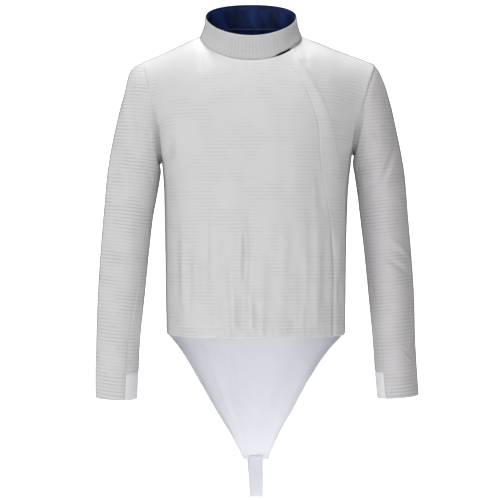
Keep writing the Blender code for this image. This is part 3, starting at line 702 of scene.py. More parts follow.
def read_between(table, x, y):
    """A square table of values at even shares, read between them."""
    last = len(table) - 1
    i, j = (np.clip((share * last).astype(int), 0, last - 1) for share in (x, y))
    s, t = x * last - i, y * last - j
    low = table[i, j] * (1 - s) + table[i + 1, j] * s
    high = table[i, j + 1] * (1 - s) + table[i + 1, j + 1] * s
    return low * (1 - t) + high * t


def body_ruler(face, across, up):
    """Where on the flat cloth a point of the body lies: sideways, and up from the hem's level."""
    climb = np.clip((up - ARMPIT) / (1 - ARMPIT), 0.0, 1.0)
    _, column, reach = on_chest(face, across, climb)
    low, high = hem_height(across), armpit_height(across)
    level = low + (high - low) * np.minimum(up / ARMPIT, 1.0)
    over_chest = read_between(chest_ruler(face), column, reach)
    return np.stack([HALF_GIRTH * column, level - HEM_MIDDLE + over_chest], axis=-1)


def sleeve_ruler(side, cloth):
    """Where on the flat sleeve a point lies: around, and along the arm from the armhole."""
    ends = [(row[0] + row[2], row[1] + row[3]) for row in (SLEEVE[side][0], SLEEVE[side][-1])]
    (top_x, top_z), (low_x, low_z) = ends
    axis = np.array([low_x - top_x, 0.0, low_z - top_z])
    along = cloth.ground @ (axis / np.linalg.norm(axis))
    return np.stack([cloth.reach["left"], along], axis=-1)


@functools.lru_cache(maxsize=None)
def sleeve_table(side):
    """The sleeve's rows from the armhole down, each with its share of the length."""
    tip, pit = shoulder_tip(side), armpit(side)
    seam = UNDER_SEAM_AT_ARMHOLE
    first = (tip[0], tip[2], pit[0], pit[2], 0.0, ARMHOLE_MEAN_DEPTH, seam, seam)
    table = np.array((first,) + SLEEVE[side])
    steps = np.diff(table[:, :4], axis=0)
    lengths = np.hypot(steps[:, 0], steps[:, 1]) + np.hypot(steps[:, 2], steps[:, 3])
    shares = np.concatenate([[0.0], np.cumsum(lengths)]) / lengths.sum()
    return np.column_stack([shares, table])


def sleeve(side, angle, down):
    """The outer form of a sleeve; down runs from the armhole (0) to the cuff (1)."""
    outer_x, outer_z, inner_x, inner_z, middle_y, half_depth, _, _ = columns_of(
        smooth(sleeve_table(side), down)
    )
    turn, stand = turned_by(angle)
    outer = points_of(outer_x, middle_y, outer_z)
    inner = points_of(inner_x, middle_y, inner_z)
    point = (outer + inner) / 2 + (outer - inner) / 2 * turn[..., None]
    point = point - points_of(0.0, half_depth * stand, 0.0)
    tip, pit = shoulder_tip(side), armpit(side)
    ring = (tip + pit) / 2 + (tip - pit) / 2 * turn[..., None]
    ring = ring - points_of(0.0, ARMHOLE_MEAN_DEPTH * stand, 0.0)
    settle = np.maximum(0.0, 1 - down / ARMHOLE_SETTLE) ** 2
    point = point + (armhole(side, angle) - ring) * settle[..., None]
    folds = sum(
        height * bump(angle - at, half_angle)
        * bump(down - middle - slant * (angle - at) / half_angle, half_length)
        for at, middle, half_angle, half_length, height, slant in SLEEVE_FOLDS[side]
    )
    return point + points_of(side * turn, -stand, 0.0) * folds[..., None]


def sleeve_seams(side, down):
    return columns_of(smooth(sleeve_table(side), down))[6:]


def unit(vectors):
    return vectors / np.linalg.norm(vectors, axis=-1, keepdims=True)


def normals_of(form, across, up):
    """Normals of a form, where across runs to the wearer's left, seen from the front."""
    step = NORMAL_STEP
    sideways = form(np.minimum(across + step, 1.0), up) - form(np.maximum(across - step, 0.0), up)
    upwards = form(across, np.minimum(up + step, 1.0)) - form(across, np.maximum(up - step, 0.0))
    return unit(np.cross(sideways, upwards))


def lengths_along(points, axis):
    """How far along its row or column each point of a grid lies."""
    steps = np.linalg.norm(np.diff(points, axis=axis), axis=-1)
    run = np.cumsum(steps, axis=axis)
    return np.concatenate([np.zeros_like(run.take([0], axis=axis)), run], axis=axis)


class Cloth:
    """One cut piece, laid on its form as a grid, with the heights of what is worked into it."""

    def __init__(self, name, form, across, up, turned=False, lift=0.0, thickness=CLOTH):
        self.name = name
        self.turned = turned
        self.across, self.up = np.broadcast_arrays(across, up)
        self.thickness = np.zeros(self.across.shape) + thickness
        self.ground = form(self.across, self.up)
        self.normals = normals_of(form, self.across, self.up) * (-1 if turned else 1)
        self.height = np.zeros(self.across.shape) + lift
        bottom = lengths_along(self.ground, 0)
        left = lengths_along(self.ground, 1)
        self.reach = {
            "bottom": bottom,
            "top": bottom[-1:] - bottom,
            "left": left,
            "right": left[:, -1:] - left,
        }
        self.ruler = np.stack([left, bottom.mean(axis=1, keepdims=True) + 0 * left], axis=-1)
        self.lined_rim = (0.0, 0.0)

    def face(self, depth=0.0):
        """The cloth's outer face, or the points at a depth below it."""
        return self.ground + self.normals * (self.height - depth)[..., None]

    def rims(self):
        """The four edges: name, and the places and normals along each."""
        for edge, row in (("bottom", np.s_[0]), ("top", np.s_[-1])):
            yield edge, self.ground[row], self.normals[row]
        for edge, column in (("left", np.s_[:, 0]), ("right", np.s_[:, -1])):
            yield edge, self.ground[column], self.normals[column]


def share_normals(cloths):
    """Turn the normals by each seam to one common way, so that both its sides move together."""
    trees = []
    for cloth in cloths:
        places = np.concatenate([place for _, place, _ in cloth.rims()])
        normals = np.concatenate([normal for _, _, normal in cloth.rims()])
        tree = KDTree(len(places))
        for k, place in enumerate(places):
            tree.insert(place, k)
        tree.balance()
        trees.append((tree, normals))
    turned = []
    for cloth, own in zip(cloths, trees):
        turn = np.zeros_like(cloth.normals)
        for edge, places, normals in cloth.rims():
            common = normals.copy()
            for tree, others in trees:
                if tree is own[0]:
                    continue
                for k, place in enumerate(places):
                    _, index, distance = tree.find(place)
                    if distance < MEETING:
                        common[k] += others[index]
            change = unit(common) - normals
            change = change[None, :] if edge in ("bottom", "top") else change[:, None]
            turn += change * np.exp(-((cloth.reach[edge] / NORMAL_REACH) ** 2))[..., None]
        turned.append(turn)
    for cloth, turn in zip(cloths, turned):
        cloth.normals = unit(cloth.normals + turn)


def graded(length, spacing=SPACING, lines=(), marks=()):
    """Shares of a length: even steps, closer ones by the ends and by lines, and single marks."""
    closer = [line + step for line in (0.0, length, *lines) for step in NEAR_STEPS]
    fixed = np.array([place for place in (*closer, *marks) if 0 <= place <= length])
    even = np.linspace(0, length, round(length / spacing) + 1)
    even = even[np.abs(even[:, None] - fixed[None, :]).min(axis=1) > 0.3 * spacing]
    places = np.unique(np.round(np.concatenate([even, fixed]), 2))
    kept = np.concatenate([[True], np.diff(places) > 0.25])
    kept[-1] = True
    return places[kept] / places[-1]


def spread(knots, length, lines=()):
    """Columns between knots that move from row to row; length is the piece's middle width."""
    knots = np.stack(np.broadcast_arrays(*knots), axis=-1)
    middle = knots[len(knots) // 2]
    at = (middle - middle[0]) / (middle[-1] - middle[0])
    shares = graded(length, lines=lines, marks=tuple(at[1:-1] * length))
    weights = np.array([np.interp(shares, at, corner) for corner in np.eye(len(at))])
    return knots @ weights


def wander(x, y, wave, seed):
    """Slow uneven waves between -1 and 1 over a cloth, for its lie and its puckers."""
    return (
        np.sin(TURN * (x / wave + 0.31 * y / wave) + 1.7 * seed)
        + 0.8 * np.sin(TURN * (0.43 * x / wave - 0.59 * y / wave) + 2.9 * seed)
        + 0.6 * np.sin(TURN * (1.73 * x / wave + 0.13 * y / wave) + 4.1 * seed)
    ) / 2.4


def seam_allowance(cloth, *edges):
    """The turned-in cloth that stands inside along a seam."""
    for edge in edges:
        near = np.exp(-((cloth.reach[edge] / ALLOWANCE_WIDTH) ** 2))
        cloth.thickness = cloth.thickness + ALLOWANCE * near


def run_of(cloth, edge):
    """How far along an edge each point lies."""
    return cloth.reach["bottom" if edge in ("left", "right") else "left"]


def press_seam(cloth, edge, pucker=0.3, seed=1.0, depth=SEAM_DEPTH, width=SEAM_WIDTH):
    """Draw the cloth in along a seam, with puckers that fade away from it."""
    distance = cloth.reach[edge]
    cloth.height = cloth.height * ease(distance / SEAM_FADE)
    cloth.height = cloth.height - depth * np.exp(-((distance / width) ** 2))
    ripple = wander(run_of(cloth, edge), 0.4 * distance, 17.0, seed)
    fade = np.exp(-distance / PUCKERS_FADE) * ease(distance / PUCKERS_BEGIN)
    cloth.height = cloth.height + pucker * ripple * fade
    seam_allowance(cloth, edge)


def press_fly_seam(cloth, edge):
    """The same for the seam between the right front and the fly, which lie on one form."""
    distance = cloth.reach[edge]
    height = cloth.ground[..., 2]
    low = ease((FLY_GROOVE_TOP - height) / FLY_GROOVE_FADE)
    depth = FLY_SEAM_DEPTH + (FLY_GROOVE_DEPTH - FLY_SEAM_DEPTH) * low
    width = SEAM_WIDTH * (1 + low)
    cloth.height = cloth.height - depth * np.exp(-((distance / width) ** 2))
    ripple = wander(height, 0.4 * distance, 21.0, 6.0)
    fade = np.exp(-distance / FLY_PUCKERS_FADE) * ease(distance / PUCKERS_BEGIN)
    cloth.height = cloth.height + FLY_PUCKER * ripple * fade
    seam_allowance(cloth, edge)


def round_edge(cloth, *edges):
    """Round a folded free edge off, from both faces."""
    for edge in edges:
        near = 1 - ease(cloth.reach[edge] / EDGE_ROUNDING)
        drawn = cloth.thickness * EDGE_THINNED * near
        cloth.thickness = cloth.thickness - drawn
        cloth.height = cloth.height - drawn / 2


def stitch_groove(cloth, edge, distance, depth=0.5, pucker=0.35, seed=2.0):
    """Press the cloth along a stitch line, and pucker it between the line and the edge."""
    away = cloth.reach[edge] - distance
    ripple = wander(run_of(cloth, edge), 0.3 * away, 14.0, seed)
    inner = np.exp(-np.maximum(away, 0) / STITCH_PUCKERS_FADE)
    band = np.where(away < 0, ease(cloth.reach[edge] / distance * 2), inner)
    groove = depth * np.exp(-((away / STITCH_GROOVE_WIDTH) ** 2))
    cloth.height = cloth.height - groove + pucker * ripple * band


def lie_of_cloth(cloth, amount=0.35, wave=64.0, seed=3.0):
    """The slight unevenness of cloth that hangs free."""
    x, y = cloth.ruler[..., 0], cloth.ruler[..., 1]
    cloth.height = cloth.height + amount * wander(x, 0.35 * y, wave, seed)


def body_creases(cloth, face):
    x, z = cloth.ground[..., 0], cloth.ground[..., 2]
    for middle, top, bottom, half_width, height, lean in CREASES[face]:
        along = (top - z) / (top - bottom)
        fade = ease(np.minimum(along, 1 - along) * CREASE_FADE)
        aside = x - middle - lean * (along - 0.5)
        cloth.height = cloth.height + height * bump(aside, half_width) * fade


def sleeve_creases(cloth, side, angle):
    z = cloth.ground[..., 2]
    for at, middle, half_angle, half_length, height, climb in SLEEVE_CREASES[side]:
        turn = (angle - at) / half_angle
        aside = z - middle - climb * turn
        cloth.height = cloth.height + height * bump(turn, 1.0) * bump(aside, half_length)


def opening(up):
    return columns_of(smooth(OPENING, up))


def body_rows():
    """Rows of the front and back from the hem to the top, closer by the hem's stitch line."""
    below = graded(BODY_BELOW, lines=(HEM_DEPTH,)) * ARMPIT
    above = ARMPIT + graded(BODY_ABOVE) * (1 - ARMPIT)
    return np.concatenate([below, above[1:]])[:, None]


def front_form(across, up):
    return body(FRONT, across, up)


def back_form(across, up):
    return body(BACK, across, up)


def body_cloth(name, face, knots, width, lift=None, lines=()):
    up = body_rows()
    across = spread(knots(up[:, 0]), width, lines)
    form = front_form if face == FRONT else back_form
    cloth = Cloth(name, form, across, up, turned=face == BACK)
    cloth.ruler = body_ruler(face, cloth.across, cloth.up)
    soften_neck_corners(cloth, face)
    body_creases(cloth, face)
    lie_of_cloth(cloth)
    stitch_groove(cloth, "bottom", HEM_DEPTH, depth=0.4, pucker=0.8)
    press_seam(cloth, "top", seed=4.0, depth=NECK_SEAM_DEPTH)
    cloth.height = cloth.height + (lift(across, up) if lift else 0.0)
    return cloth


def soften_neck_corners(cloth, face):
    """Even out the cloth below the neck's corners, where the columns turn to the shoulder seam."""
    place = cloth.ground
    near = 0.0
    for side in (RIGHT, LEFT):
        corner = neck(neck_angle(face, NECK_SHARE[side]), 0.0)
        near = near + ease((SOFT_REACH - np.linalg.norm(place - corner, axis=-1)) / SOFT_FADE)
    if cloth.name in ("front_fly", "front_left"):
        near = near * ease((cloth.reach["left"] - SOFT_FROM_FLY) / SOFT_FADE)
    share = near[1:-1, 1:-1, None] * SOFT_SHARE
    place = place.copy()
    for _ in range(SOFT_ROUNDS):
        around = place[:-2, 1:-1] + place[2:, 1:-1] + place[1:-1, :-2] + place[1:-1, 2:]
        place[1:-1, 1:-1] += share * (around / 4 - place[1:-1, 1:-1])
    turned = -1 if cloth.turned else 1
    smoothed = unit(np.cross(np.gradient(place, axis=1), np.gradient(place, axis=0))) * turned
    cloth.ground = place
    cloth.normals = unit(cloth.normals + (smoothed - cloth.normals) * near[..., None])


def fly_lift(across, up):
    seam, edge = opening(up)
    return FLY_LIFT * ease((across - seam) / (edge - seam) / FLY_SOFT_RAMP)


def thin_fly_edge(fly):
    """The fly's edge is pressed thin near the collar, so that it hardly shows there."""
    high = ease((fly.ground[..., 2] - FLY_THIN_FROM) / FLY_THIN_FADE)
    drawn = FLY_THINNED * high * ease(1 - fly.reach["right"] / FLY_THIN_WIDTH)
    fly.height = fly.height - drawn
    fly.thickness = fly.thickness - drawn


def front_right_knots(up):
    seam = opening(up)[0]
    return 0.0, NECK_SHARE[RIGHT] * seam / opening(1.0)[0], seam


def front_fly_knots(up):
    seam, edge = opening(up)
    return seam, seam + (edge - seam) * FLY_RAMP, edge


def front_left_knots(up):
    seam, edge = opening(up)
    top_edge = opening(1.0)[1]
    corner = edge + (1 - edge) * (NECK_SHARE[LEFT] - top_edge) / (1 - top_edge)
    return seam + (edge - seam) * FLY_UNDERLAP, edge, corner, 1.0


def back_knots(up):
    return 0.0 * up, NECK_SHARE[RIGHT], NECK_SHARE[LEFT], 1.0


def sink_armhole(cloth, edge, side):
    """The fold between the body or the sleeve's head and the arm, deeper towards the armpit."""
    low = ARMHOLE[side][2] - ARMPIT_FOLD_BELOW
    height = cloth.ground[..., 2]
    start = ease((ARMPIT_FOLD_TOP - height) / ARMPIT_FOLD_DEEPENS)
    end = ease((height - low) / ARMPIT_FOLD_END)
    fold = np.exp(-((cloth.reach[edge] / ARMPIT_FOLD_WIDTH) ** 2))
    cloth.height = cloth.height - ARMPIT_SINK[side] * start * end * fold


def body_cloths():
    front_right = body_cloth("front_right", FRONT, front_right_knots, 350.0)
    front_fly = body_cloth("front_fly", FRONT, front_fly_knots, 26.0, fly_lift, (22.0,))
    front_left = body_cloth("front_left", FRONT, front_left_knots, 90.0)
    back = body_cloth("back", BACK, back_knots, HALF_GIRTH)
    press_fly_seam(front_right, "right")
    press_fly_seam(front_fly, "left")
    stitch_groove(front_fly, "right", FLY_STITCH, depth=0.35, pucker=0.25, seed=7.0)
    for cloth, edge, side, seed in (
        (front_right, "left", RIGHT, 5.0),
        (front_left, "right", LEFT, 5.5),
        (back, "left", RIGHT, 5.0),
        (back, "right", LEFT, 5.5),
    ):
        press_seam(cloth, edge, seed=seed, **ARMHOLE_SEAM[side])
        sink_armhole(cloth, edge, side)
    thin_fly_edge(front_fly)
    round_edge(front_right, "bottom")
    round_edge(front_fly, "bottom", "right")
    round_edge(front_left, "bottom", "left")
    return [front_right, front_fly, front_left, back]


def sleeve_cloths(side, name):
    """Upper sleeve, under sleeve and cuff gusset of one arm."""
    def upper_angle(across, down):
        front_seam, back_seam = sleeve_seams(side, down)
        turn = 2 * across - 1
        return turn * np.where(turn > 0, front_seam, back_seam)

    def under_angle(across, down):
        front_seam, back_seam = sleeve_seams(side, down)
        return front_seam + across * (360 - back_seam - front_seam)

    gusset_length = (1 - GUSSET_START) * SLEEVE_LENGTH
    whole = graded(SLEEVE_LENGTH, lines=(SLEEVE_LENGTH - CUFF_DEPTH,))[:, None]
    to_gusset = graded(SLEEVE_LENGTH - gusset_length)[:, None] * GUSSET_START
    past_gusset = GUSSET_START + graded(gusset_length)[:, None] * (1 - GUSSET_START)
    around = graded(SLEEVE_UPPER_GIRTH)[None, :]
    under_around = graded(SLEEVE_UNDER_GIRTH)[None, :]

    def made(piece, angle_of, columns, rows):
        def form(across, down):
            return sleeve(side, angle_of(across, down), down)

        cloth = Cloth(f"{piece}_{name}", form, columns, rows, turned=side == RIGHT)
        cloth.ruler = sleeve_ruler(side, cloth)
        lie_of_cloth(cloth, amount=0.3, wave=55.0, seed=8.0 + side)
        sleeve_creases(cloth, side, angle_of(cloth.across, cloth.up))
        press_seam(cloth, "left", pucker=0.25, seed=9.0)
        press_seam(cloth, "right", pucker=0.25, seed=9.5)
        return cloth

    upper = made("sleeve_upper", upper_angle, around, whole)
    under = made("sleeve_under", under_angle, under_around, to_gusset)
    gusset = made("cuff_gusset", under_angle, under_around, past_gusset)
    for cloth in (upper, under):
        press_seam(cloth, "bottom", pucker=0.45, seed=10.0, **SLEEVE_HEAD_SEAM[side])
        sink_armhole(cloth, "bottom", side)
    stitch_groove(upper, "top", CUFF_DEPTH, depth=0.35, pucker=0.3, seed=11.0)
    press_seam(under, "top")
    press_seam(gusset, "bottom")
    round_edge(upper, "top")
    round_edge(gusset, "top")
    return [upper, under, gusset]


def collar_cloths():
    """The collar's strip, whose front end laps over its start, and the lining inside it."""
    seam, edge = opening(1.0)
    first = neck_angle(FRONT, seam + (edge - seam) * FLY_UNDERLAP) - 360
    span = COLLAR_END - first

    def ramp(angles, share):
        return ease((first + span * share - angles[0]) / (angles[1] - angles[0]))

    def form(share, rise):
        raised = COLLAR_LAP_RAISE * ramp(COLLAR_RAISE_ANGLES, share)
        return neck(first + span * share, raised + (1 - raised) * rise)

    length = np.radians(span) * (NECK[-1][1] + NECK[-1][2]) / 2
    around = graded(length)[None, :]
    turn_in = COLLAR_HEIGHT - COLLAR_TURN_IN
    rises = graded(COLLAR_HEIGHT, COLLAR_SPACING, (turn_in,))[:, None]
    collar = Cloth("collar", form, around, rises)
    work_collar(collar)
    collar.height = collar.height + COLLAR_LAP_LIFT * ramp(COLLAR_LIFT_ANGLES, around)
    low, high = LINING_RISE
    start, end = ((angle - first) / span for angle in LINING_ANGLES)
    inside = start + (end - start) * graded(length * (end - start))[None, :]
    up = graded(COLLAR_HEIGHT * (high - low), COLLAR_SPACING)[:, None]
    lining_rises = low + (high - low) * up
    lift = COLLAR_LAP_LIFT * ramp(COLLAR_LIFT_ANGLES, inside) - CLOTH - SEAM_GAP
    lining = Cloth("collar_lining", form, inside, lining_rises, lift=lift, thickness=LINING)
    streaks = wander(lining.reach["left"], 0.1 * lining.reach["bottom"], 23.0, 14.0)
    lining.height = lining.height + LINING_FOLD * np.minimum(streaks, 0.0)
    return [collar, lining]


def work_collar(collar):
    """Puckers at the neck seam, a rolled top edge, the side seam's crease, and soft dents."""
    along = collar.reach["left"]
    length = along[:, -1].mean()
    collar.ruler = np.stack([collar.reach["bottom"], collar.across * length], axis=-1)
    lie_of_cloth(collar, amount=0.45, wave=46.0, seed=13.0)
    side = along - along[:, -1:] * COLLAR_SIDE_SEAM
    collar.height = collar.height - COLLAR_CREASE_DEPTH * bump(side, COLLAR_CREASE_REACH)
    x = collar.ground[..., 0]
    at_front = collar.ground[..., 1] < NECK[0][3]
    near = at_front * bump(x - COLLAR_PUCKER_X, COLLAR_PUCKER_REACH)
    away = collar.reach["bottom"] - COLLAR_PUCKER_RISE
    ripple = 1 + wander(x, 0.0 * x, 11.0, 17.0)
    dent = COLLAR_PUCKER_DEPTH * np.exp(-((away / COLLAR_PUCKER_WIDTH) ** 2))
    collar.height = collar.height - near * ripple * dent
    press_seam(collar, "bottom", pucker=0.55, seed=12.0)
    round_edge(collar, "top", "left", "right")
    collar.lined_rim = np.searchsorted(collar.across[0], COLLAR_LINED_RIM)


def strap_form(across, down):
    """The triangle that hangs from the back half of the hem and narrows to its tip."""
    depths = STRAP[0][0] + (STRAP[-1][0] - STRAP[0][0]) * down
    hem_right, hem_left, _, hem_back = columns_of(smooth(BODY, HEM_MIDDLE))
    hem = body_point(BACK, across, np.full(np.shape(across), HEM_MIDDLE))
    share = (hem[..., 0] - hem_right) / (hem_left - hem_right)

    def sheet(depth):
        right, left, edge_y, middle_y = columns_of(smooth(STRAP, depth))
        y = edge_y + (middle_y - edge_y) * hem[..., 1] / hem_back
        return points_of(right + (left - right) * share, y, -depth)

    settle = np.maximum(0.0, 1 - down / STRAP_SETTLE) ** 2
    hem_on_back = back_form(across, np.zeros(np.shape(across)))
    moved = hem_on_back - sheet(np.full(np.shape(across), STRAP[0][0]))
    return sheet(depths) + moved * settle[..., None]


def strap_cloth():
    """The strap's triangle; its first row is the hem, and its last one the tip."""
    height = STRAP[-1][0] - STRAP[0][0]
    down = graded(height, lines=(height - STRAP_HEM,))[:, None]
    across = graded(STRAP_GIRTH)[None, :]
    cloth = Cloth("crotch_strap", strap_form, across, down, thickness=WHITE_CLOTH)
    for at, half_width, fold in STRAP_FOLDS:
        fade = ease(cloth.up * 5.0) * ease((1 - cloth.up) * 2.2)
        cloth.height = cloth.height + fold * bump(cloth.across - at, half_width) * fade
    lie_of_cloth(cloth, amount=0.4, wave=60.0, seed=16.0)
    for edge in ("left", "right", "top"):
        hem = ease((STRAP_HEM - cloth.reach[edge]) / STRAP_HEM_RAMP)
        cloth.thickness = cloth.thickness + STRAP_TURN_IN * hem
        stitch_groove(cloth, edge, STRAP_STITCH, depth=0.3, pucker=0.12, seed=15.0)
        round_edge(cloth, edge)
    return cloth


def loop_cloth():
    """The webbing, as a ribbon along the loop's line."""
    middle = np.array(LOOP)
    lengths = np.linalg.norm(np.diff(middle, axis=0), axis=1)
    shares = np.concatenate([[0.0], np.cumsum(lengths)]) / lengths.sum()
    table = np.column_stack([shares, middle])

    def form(share, along):
        return smooth(table, along) + points_of(LOOP_X + (share - 0.5) * LOOP_WIDTH, 0.0, 0.0)

    across = np.linspace(0, 1, WEBBING_COLUMNS + 1)[None, :]
    along = graded(lengths.sum(), WEBBING_SPACING)[:, None]
    cloth = Cloth(
        "strap_loop", form, across, along, turned=True, lift=WEBBING / 2, thickness=WEBBING
    )
    cloth.height = cloth.height + WEBBING_RIB * np.cos(TURN * cloth.across * WEBBING_RIBS)
    round_edge(cloth, "left", "right", "top", "bottom")
    return cloth


def verts_of(geometry):
    return [item for item in geometry if isinstance(item, bmesh.types.BMVert)]


def mesh_from(bm, name):
    """End a bmesh and keep its form as a mesh."""
    mesh = bpy.data.meshes.new(name)
    bm.to_mesh(mesh)
    bm.free()
    return mesh


def object_from(mesh):
    """Put a mesh in the scene under its own name."""
    piece = bpy.data.objects.new(mesh.name, mesh)
    bpy.context.scene.collection.objects.link(piece)
    return piece


def flat_shell(cloth):
    """A flat square of two layers, one grid place for each point of the cloth; inside faces are 1."""
    rows, columns = cloth.across.shape
    bm = bmesh.new()
    bmesh.ops.create_grid(bm, x_segments=columns - 1, y_segments=rows - 1, size=1.0)
    layer = bmesh.ops.extrude_face_region(bm, geom=bm.faces[:], use_keep_orig=True)
    bmesh.ops.translate(bm, verts=verts_of(layer["geom"]), vec=(0, 0, 1))
    bmesh.ops.recalc_face_normals(bm, faces=bm.faces[:])
    start, end = cloth.lined_rim
    for face in bm.faces:
        middle = face.calc_center_median()
        inner, rim = middle.z < 0.25, middle.z < 0.75
        lined_rim = rim and start < (middle.x + 1) / 2 * (columns - 1) < end
        face.material_index = 1 if inner or lined_rim else 0
    if cloth.turned:
        bmesh.ops.reverse_faces(bm, faces=bm.faces[:])
    return mesh_from(bm, f"{cloth.name}_cloth")


def lay_on_form(mesh, cloth):
    """Move a flat shell's points to the cloth's faces, and keep their place on the flat cloth."""
    rows, columns = cloth.across.shape
    flat = np.empty(len(mesh.vertices) * 3)
    mesh.vertices.foreach_get("co", flat)
    flat = flat.reshape(-1, 3)
    column = np.rint((flat[:, 0] + 1) / 2 * (columns - 1)).astype(int)
    row = np.rint((flat[:, 1] + 1) / 2 * (rows - 1)).astype(int)
    outer, inner = cloth.face(), cloth.face(cloth.thickness)
    place = np.where(flat[:, 2:] > 0.5, outer[row, column], inner[row, column])
    mesh.vertices.foreach_set("co", (place * MM).ravel())
    corners = np.empty(len(mesh.loops), int)
    mesh.loops.foreach_get("vertex_index", corners)
    ruler = mesh.uv_layers.new(name="cloth")
    ruler.data.foreach_set("uv", (cloth.ruler[row, column][corners] * MM).ravel())
    mesh.update()


def shell(cloth, outside, inside):
    """The closed shell of a piece, with its outer and inner material."""
    mesh = flat_shell(cloth)
    lay_on_form(mesh, cloth)
    mesh.shade_smooth()
    mesh.set_sharp_from_angle(angle=np.radians(SHARP_ANGLE))
    mesh.materials.append(outside)
    mesh.materials.append(inside)
    return object_from(mesh)


def line_at(cloth, edge, distance, depth=0.0, side=1):
    """Points and normals along a piece at a distance from one of its edges."""
    reach = cloth.reach[edge]
    lanes = np.concatenate([cloth.face(depth), cloth.normals * side], axis=-1)
    if edge in ("left", "right"):
        reach, lanes = reach.T, lanes.transpose(1, 0, 2)
    if edge in ("top", "right"):
        reach, lanes = reach[::-1], lanes[::-1]
    line = np.array([
        [np.interp(distance, reach[:, j], lanes[:, j, k]) for k in range(6)]
        for j in range(lanes.shape[1])
    ])
    return line[:, :3], line[:, 3:]


def add_stitches(bm, line, normals):
    """Lay thread along a line, as one small spindle for each stitch."""
    run = lengths_along(line, 0)
    for start in np.arange(1.0, run[-1] - STITCH_LENGTH, STITCH_PITCH):
        ends = [np.array([np.interp(start + part, run, line[:, k]) for k in range(3)])
                for part in (0.0, STITCH_LENGTH)]
        lift = np.array([np.interp(start, run, normals[:, k]) for k in range(3)])
        along = (ends[1] - ends[0]) / 2
        side = np.cross(lift, along)
        side *= THREAD_RADIUS / np.linalg.norm(side)
        rise = np.cross(along, side)
        rise *= THREAD_RADIUS / np.linalg.norm(rise)
        place = (ends[0] + ends[1]) / 2 + rise * 0.35
        matrix = np.eye(4)
        matrix[:3, :] = np.column_stack([side, rise, along, place]) * MM
        bmesh.ops.create_uvsphere(bm, u_segments=6, v_segments=4, radius=1, matrix=Matrix(matrix))


def stitching(name, lines, thread):
    """The thread of one piece's stitch lines, as one mesh."""
    bm = bmesh.new()
    for line, normals in lines:
        add_stitches(bm, line, normals)
    bmesh.ops.recalc_face_normals(bm, faces=bm.faces[:])
    mesh = mesh_from(bm, f"{name}_stitching")
    mesh.shade_smooth()
    mesh.materials.append(thread)
    return object_from(mesh)


def feed(socket, given):
    """Give an input a number or a colour, or link another socket to it."""
    if isinstance(given, bpy.types.NodeSocket):
        socket.id_data.links.new(given, socket)
    else:
        socket.default_value = (*given, 1) if isinstance(given, tuple) else given


def value(nodes, operation, *inputs):
    """A math node; inputs are numbers or sockets."""
    node = nodes.new("ShaderNodeMath")
    node.operation = operation
    for socket, given in zip(node.inputs, inputs):
        feed(socket, given)
    return node.outputs[0]


def ramped(nodes, given, low, high, start=0.0, end=1.0, way="SMOOTHSTEP"):
    """Goes from start to end while a value goes from low to high; each is a number or a socket."""
    node = nodes.new("ShaderNodeMapRange")
    node.interpolation_type = way
    feed(node.inputs["Value"], given)
    feed(node.inputs["From Min"], low)
    feed(node.inputs["From Max"], high)
    feed(node.inputs["To Min"], start)
    feed(node.inputs["To Max"], end)
    return node.outputs[0]


def noise(nodes, vector, scale, stretch=(1.0, 1.0, 1.0), detail=2.0):
    """Noise on a vector, stretched along its axes."""
    links = nodes.id_data.links
    mapping = nodes.new("ShaderNodeMapping")
    mapping.inputs["Scale"].default_value = stretch
    texture = nodes.new("ShaderNodeTexNoise")
    texture.inputs["Scale"].default_value = scale
    texture.inputs["Detail"].default_value = detail
    links.new(vector, mapping.inputs["Vector"])
    links.new(mapping.outputs[0], texture.inputs["Vector"])
    return texture.outputs[0]


def ribbed_weave():
    """Cross ribs of a woven cloth: a narrow line between flat ribs, and fine threads.

    The ribs fade out between the two heights of the cloth where it is pressed smooth, and
    between the patches where they stand out they keep their least strength.
    """
    group = bpy.data.node_groups.new("ribbed weave", "ShaderNodeTree")
    group.interface.new_socket("Place", in_out="INPUT", socket_type="NodeSocketVector")
    for name in ("Pitch", "Smooth From", "Smooth To", "Least"):
        group.interface.new_socket(name, in_out="INPUT", socket_type="NodeSocketFloat")
    for name in ("Line", "Thread", "Wear"):
        group.interface.new_socket(name, in_out="OUTPUT", socket_type="NodeSocketFloat")
    nodes, links = group.nodes, group.links
    given = nodes.new("NodeGroupInput")
    made = nodes.new("NodeGroupOutput")
    place, pitch = given.outputs["Place"], given.outputs["Pitch"]
    axes = nodes.new("ShaderNodeSeparateXYZ")
    links.new(place, axes.inputs[0])
    height = axes.outputs["Y"]
    waver = value(nodes, "MULTIPLY", noise(nodes, place, 14.0, (1.0, 2.0, 1.0)), RIB_WAVER)
    along = value(nodes, "ADD", value(nodes, "DIVIDE", height, pitch), waver)
    offset = value(nodes, "SUBTRACT", value(nodes, "FRACT", along), 0.5)
    line = ramped(nodes, value(nodes, "ABSOLUTE", offset), *RIB_LINE)
    patches = noise(nodes, place, 22.0, (0.8, 1.0, 1.0), 3.0)
    patch = ramped(nodes, patches, *RIB_PATCH, given.outputs["Least"], 1.3)
    uneven = value(nodes, "MULTIPLY", noise(nodes, place, 60.0, (1.0, 5.0, 1.0)), 0.9)
    strength = value(nodes, "MULTIPLY", patch, value(nodes, "ADD", uneven, 0.55))
    smooth_from, smooth_to = given.outputs["Smooth From"], given.outputs["Smooth To"]
    pressed = ramped(nodes, height, smooth_from, smooth_to, 1.0, 0.15)
    strength = value(nodes, "MULTIPLY", strength, pressed)
    links.new(value(nodes, "MULTIPLY", line, strength), made.inputs["Line"])
    links.new(noise(nodes, place, 1000.0, (0.9, 0.25, 1.0), 1.0), made.inputs["Thread"])
    links.new(noise(nodes, place, 9.0, (1.6, 0.7, 1.0), 4.0), made.inputs["Wear"])
    return group


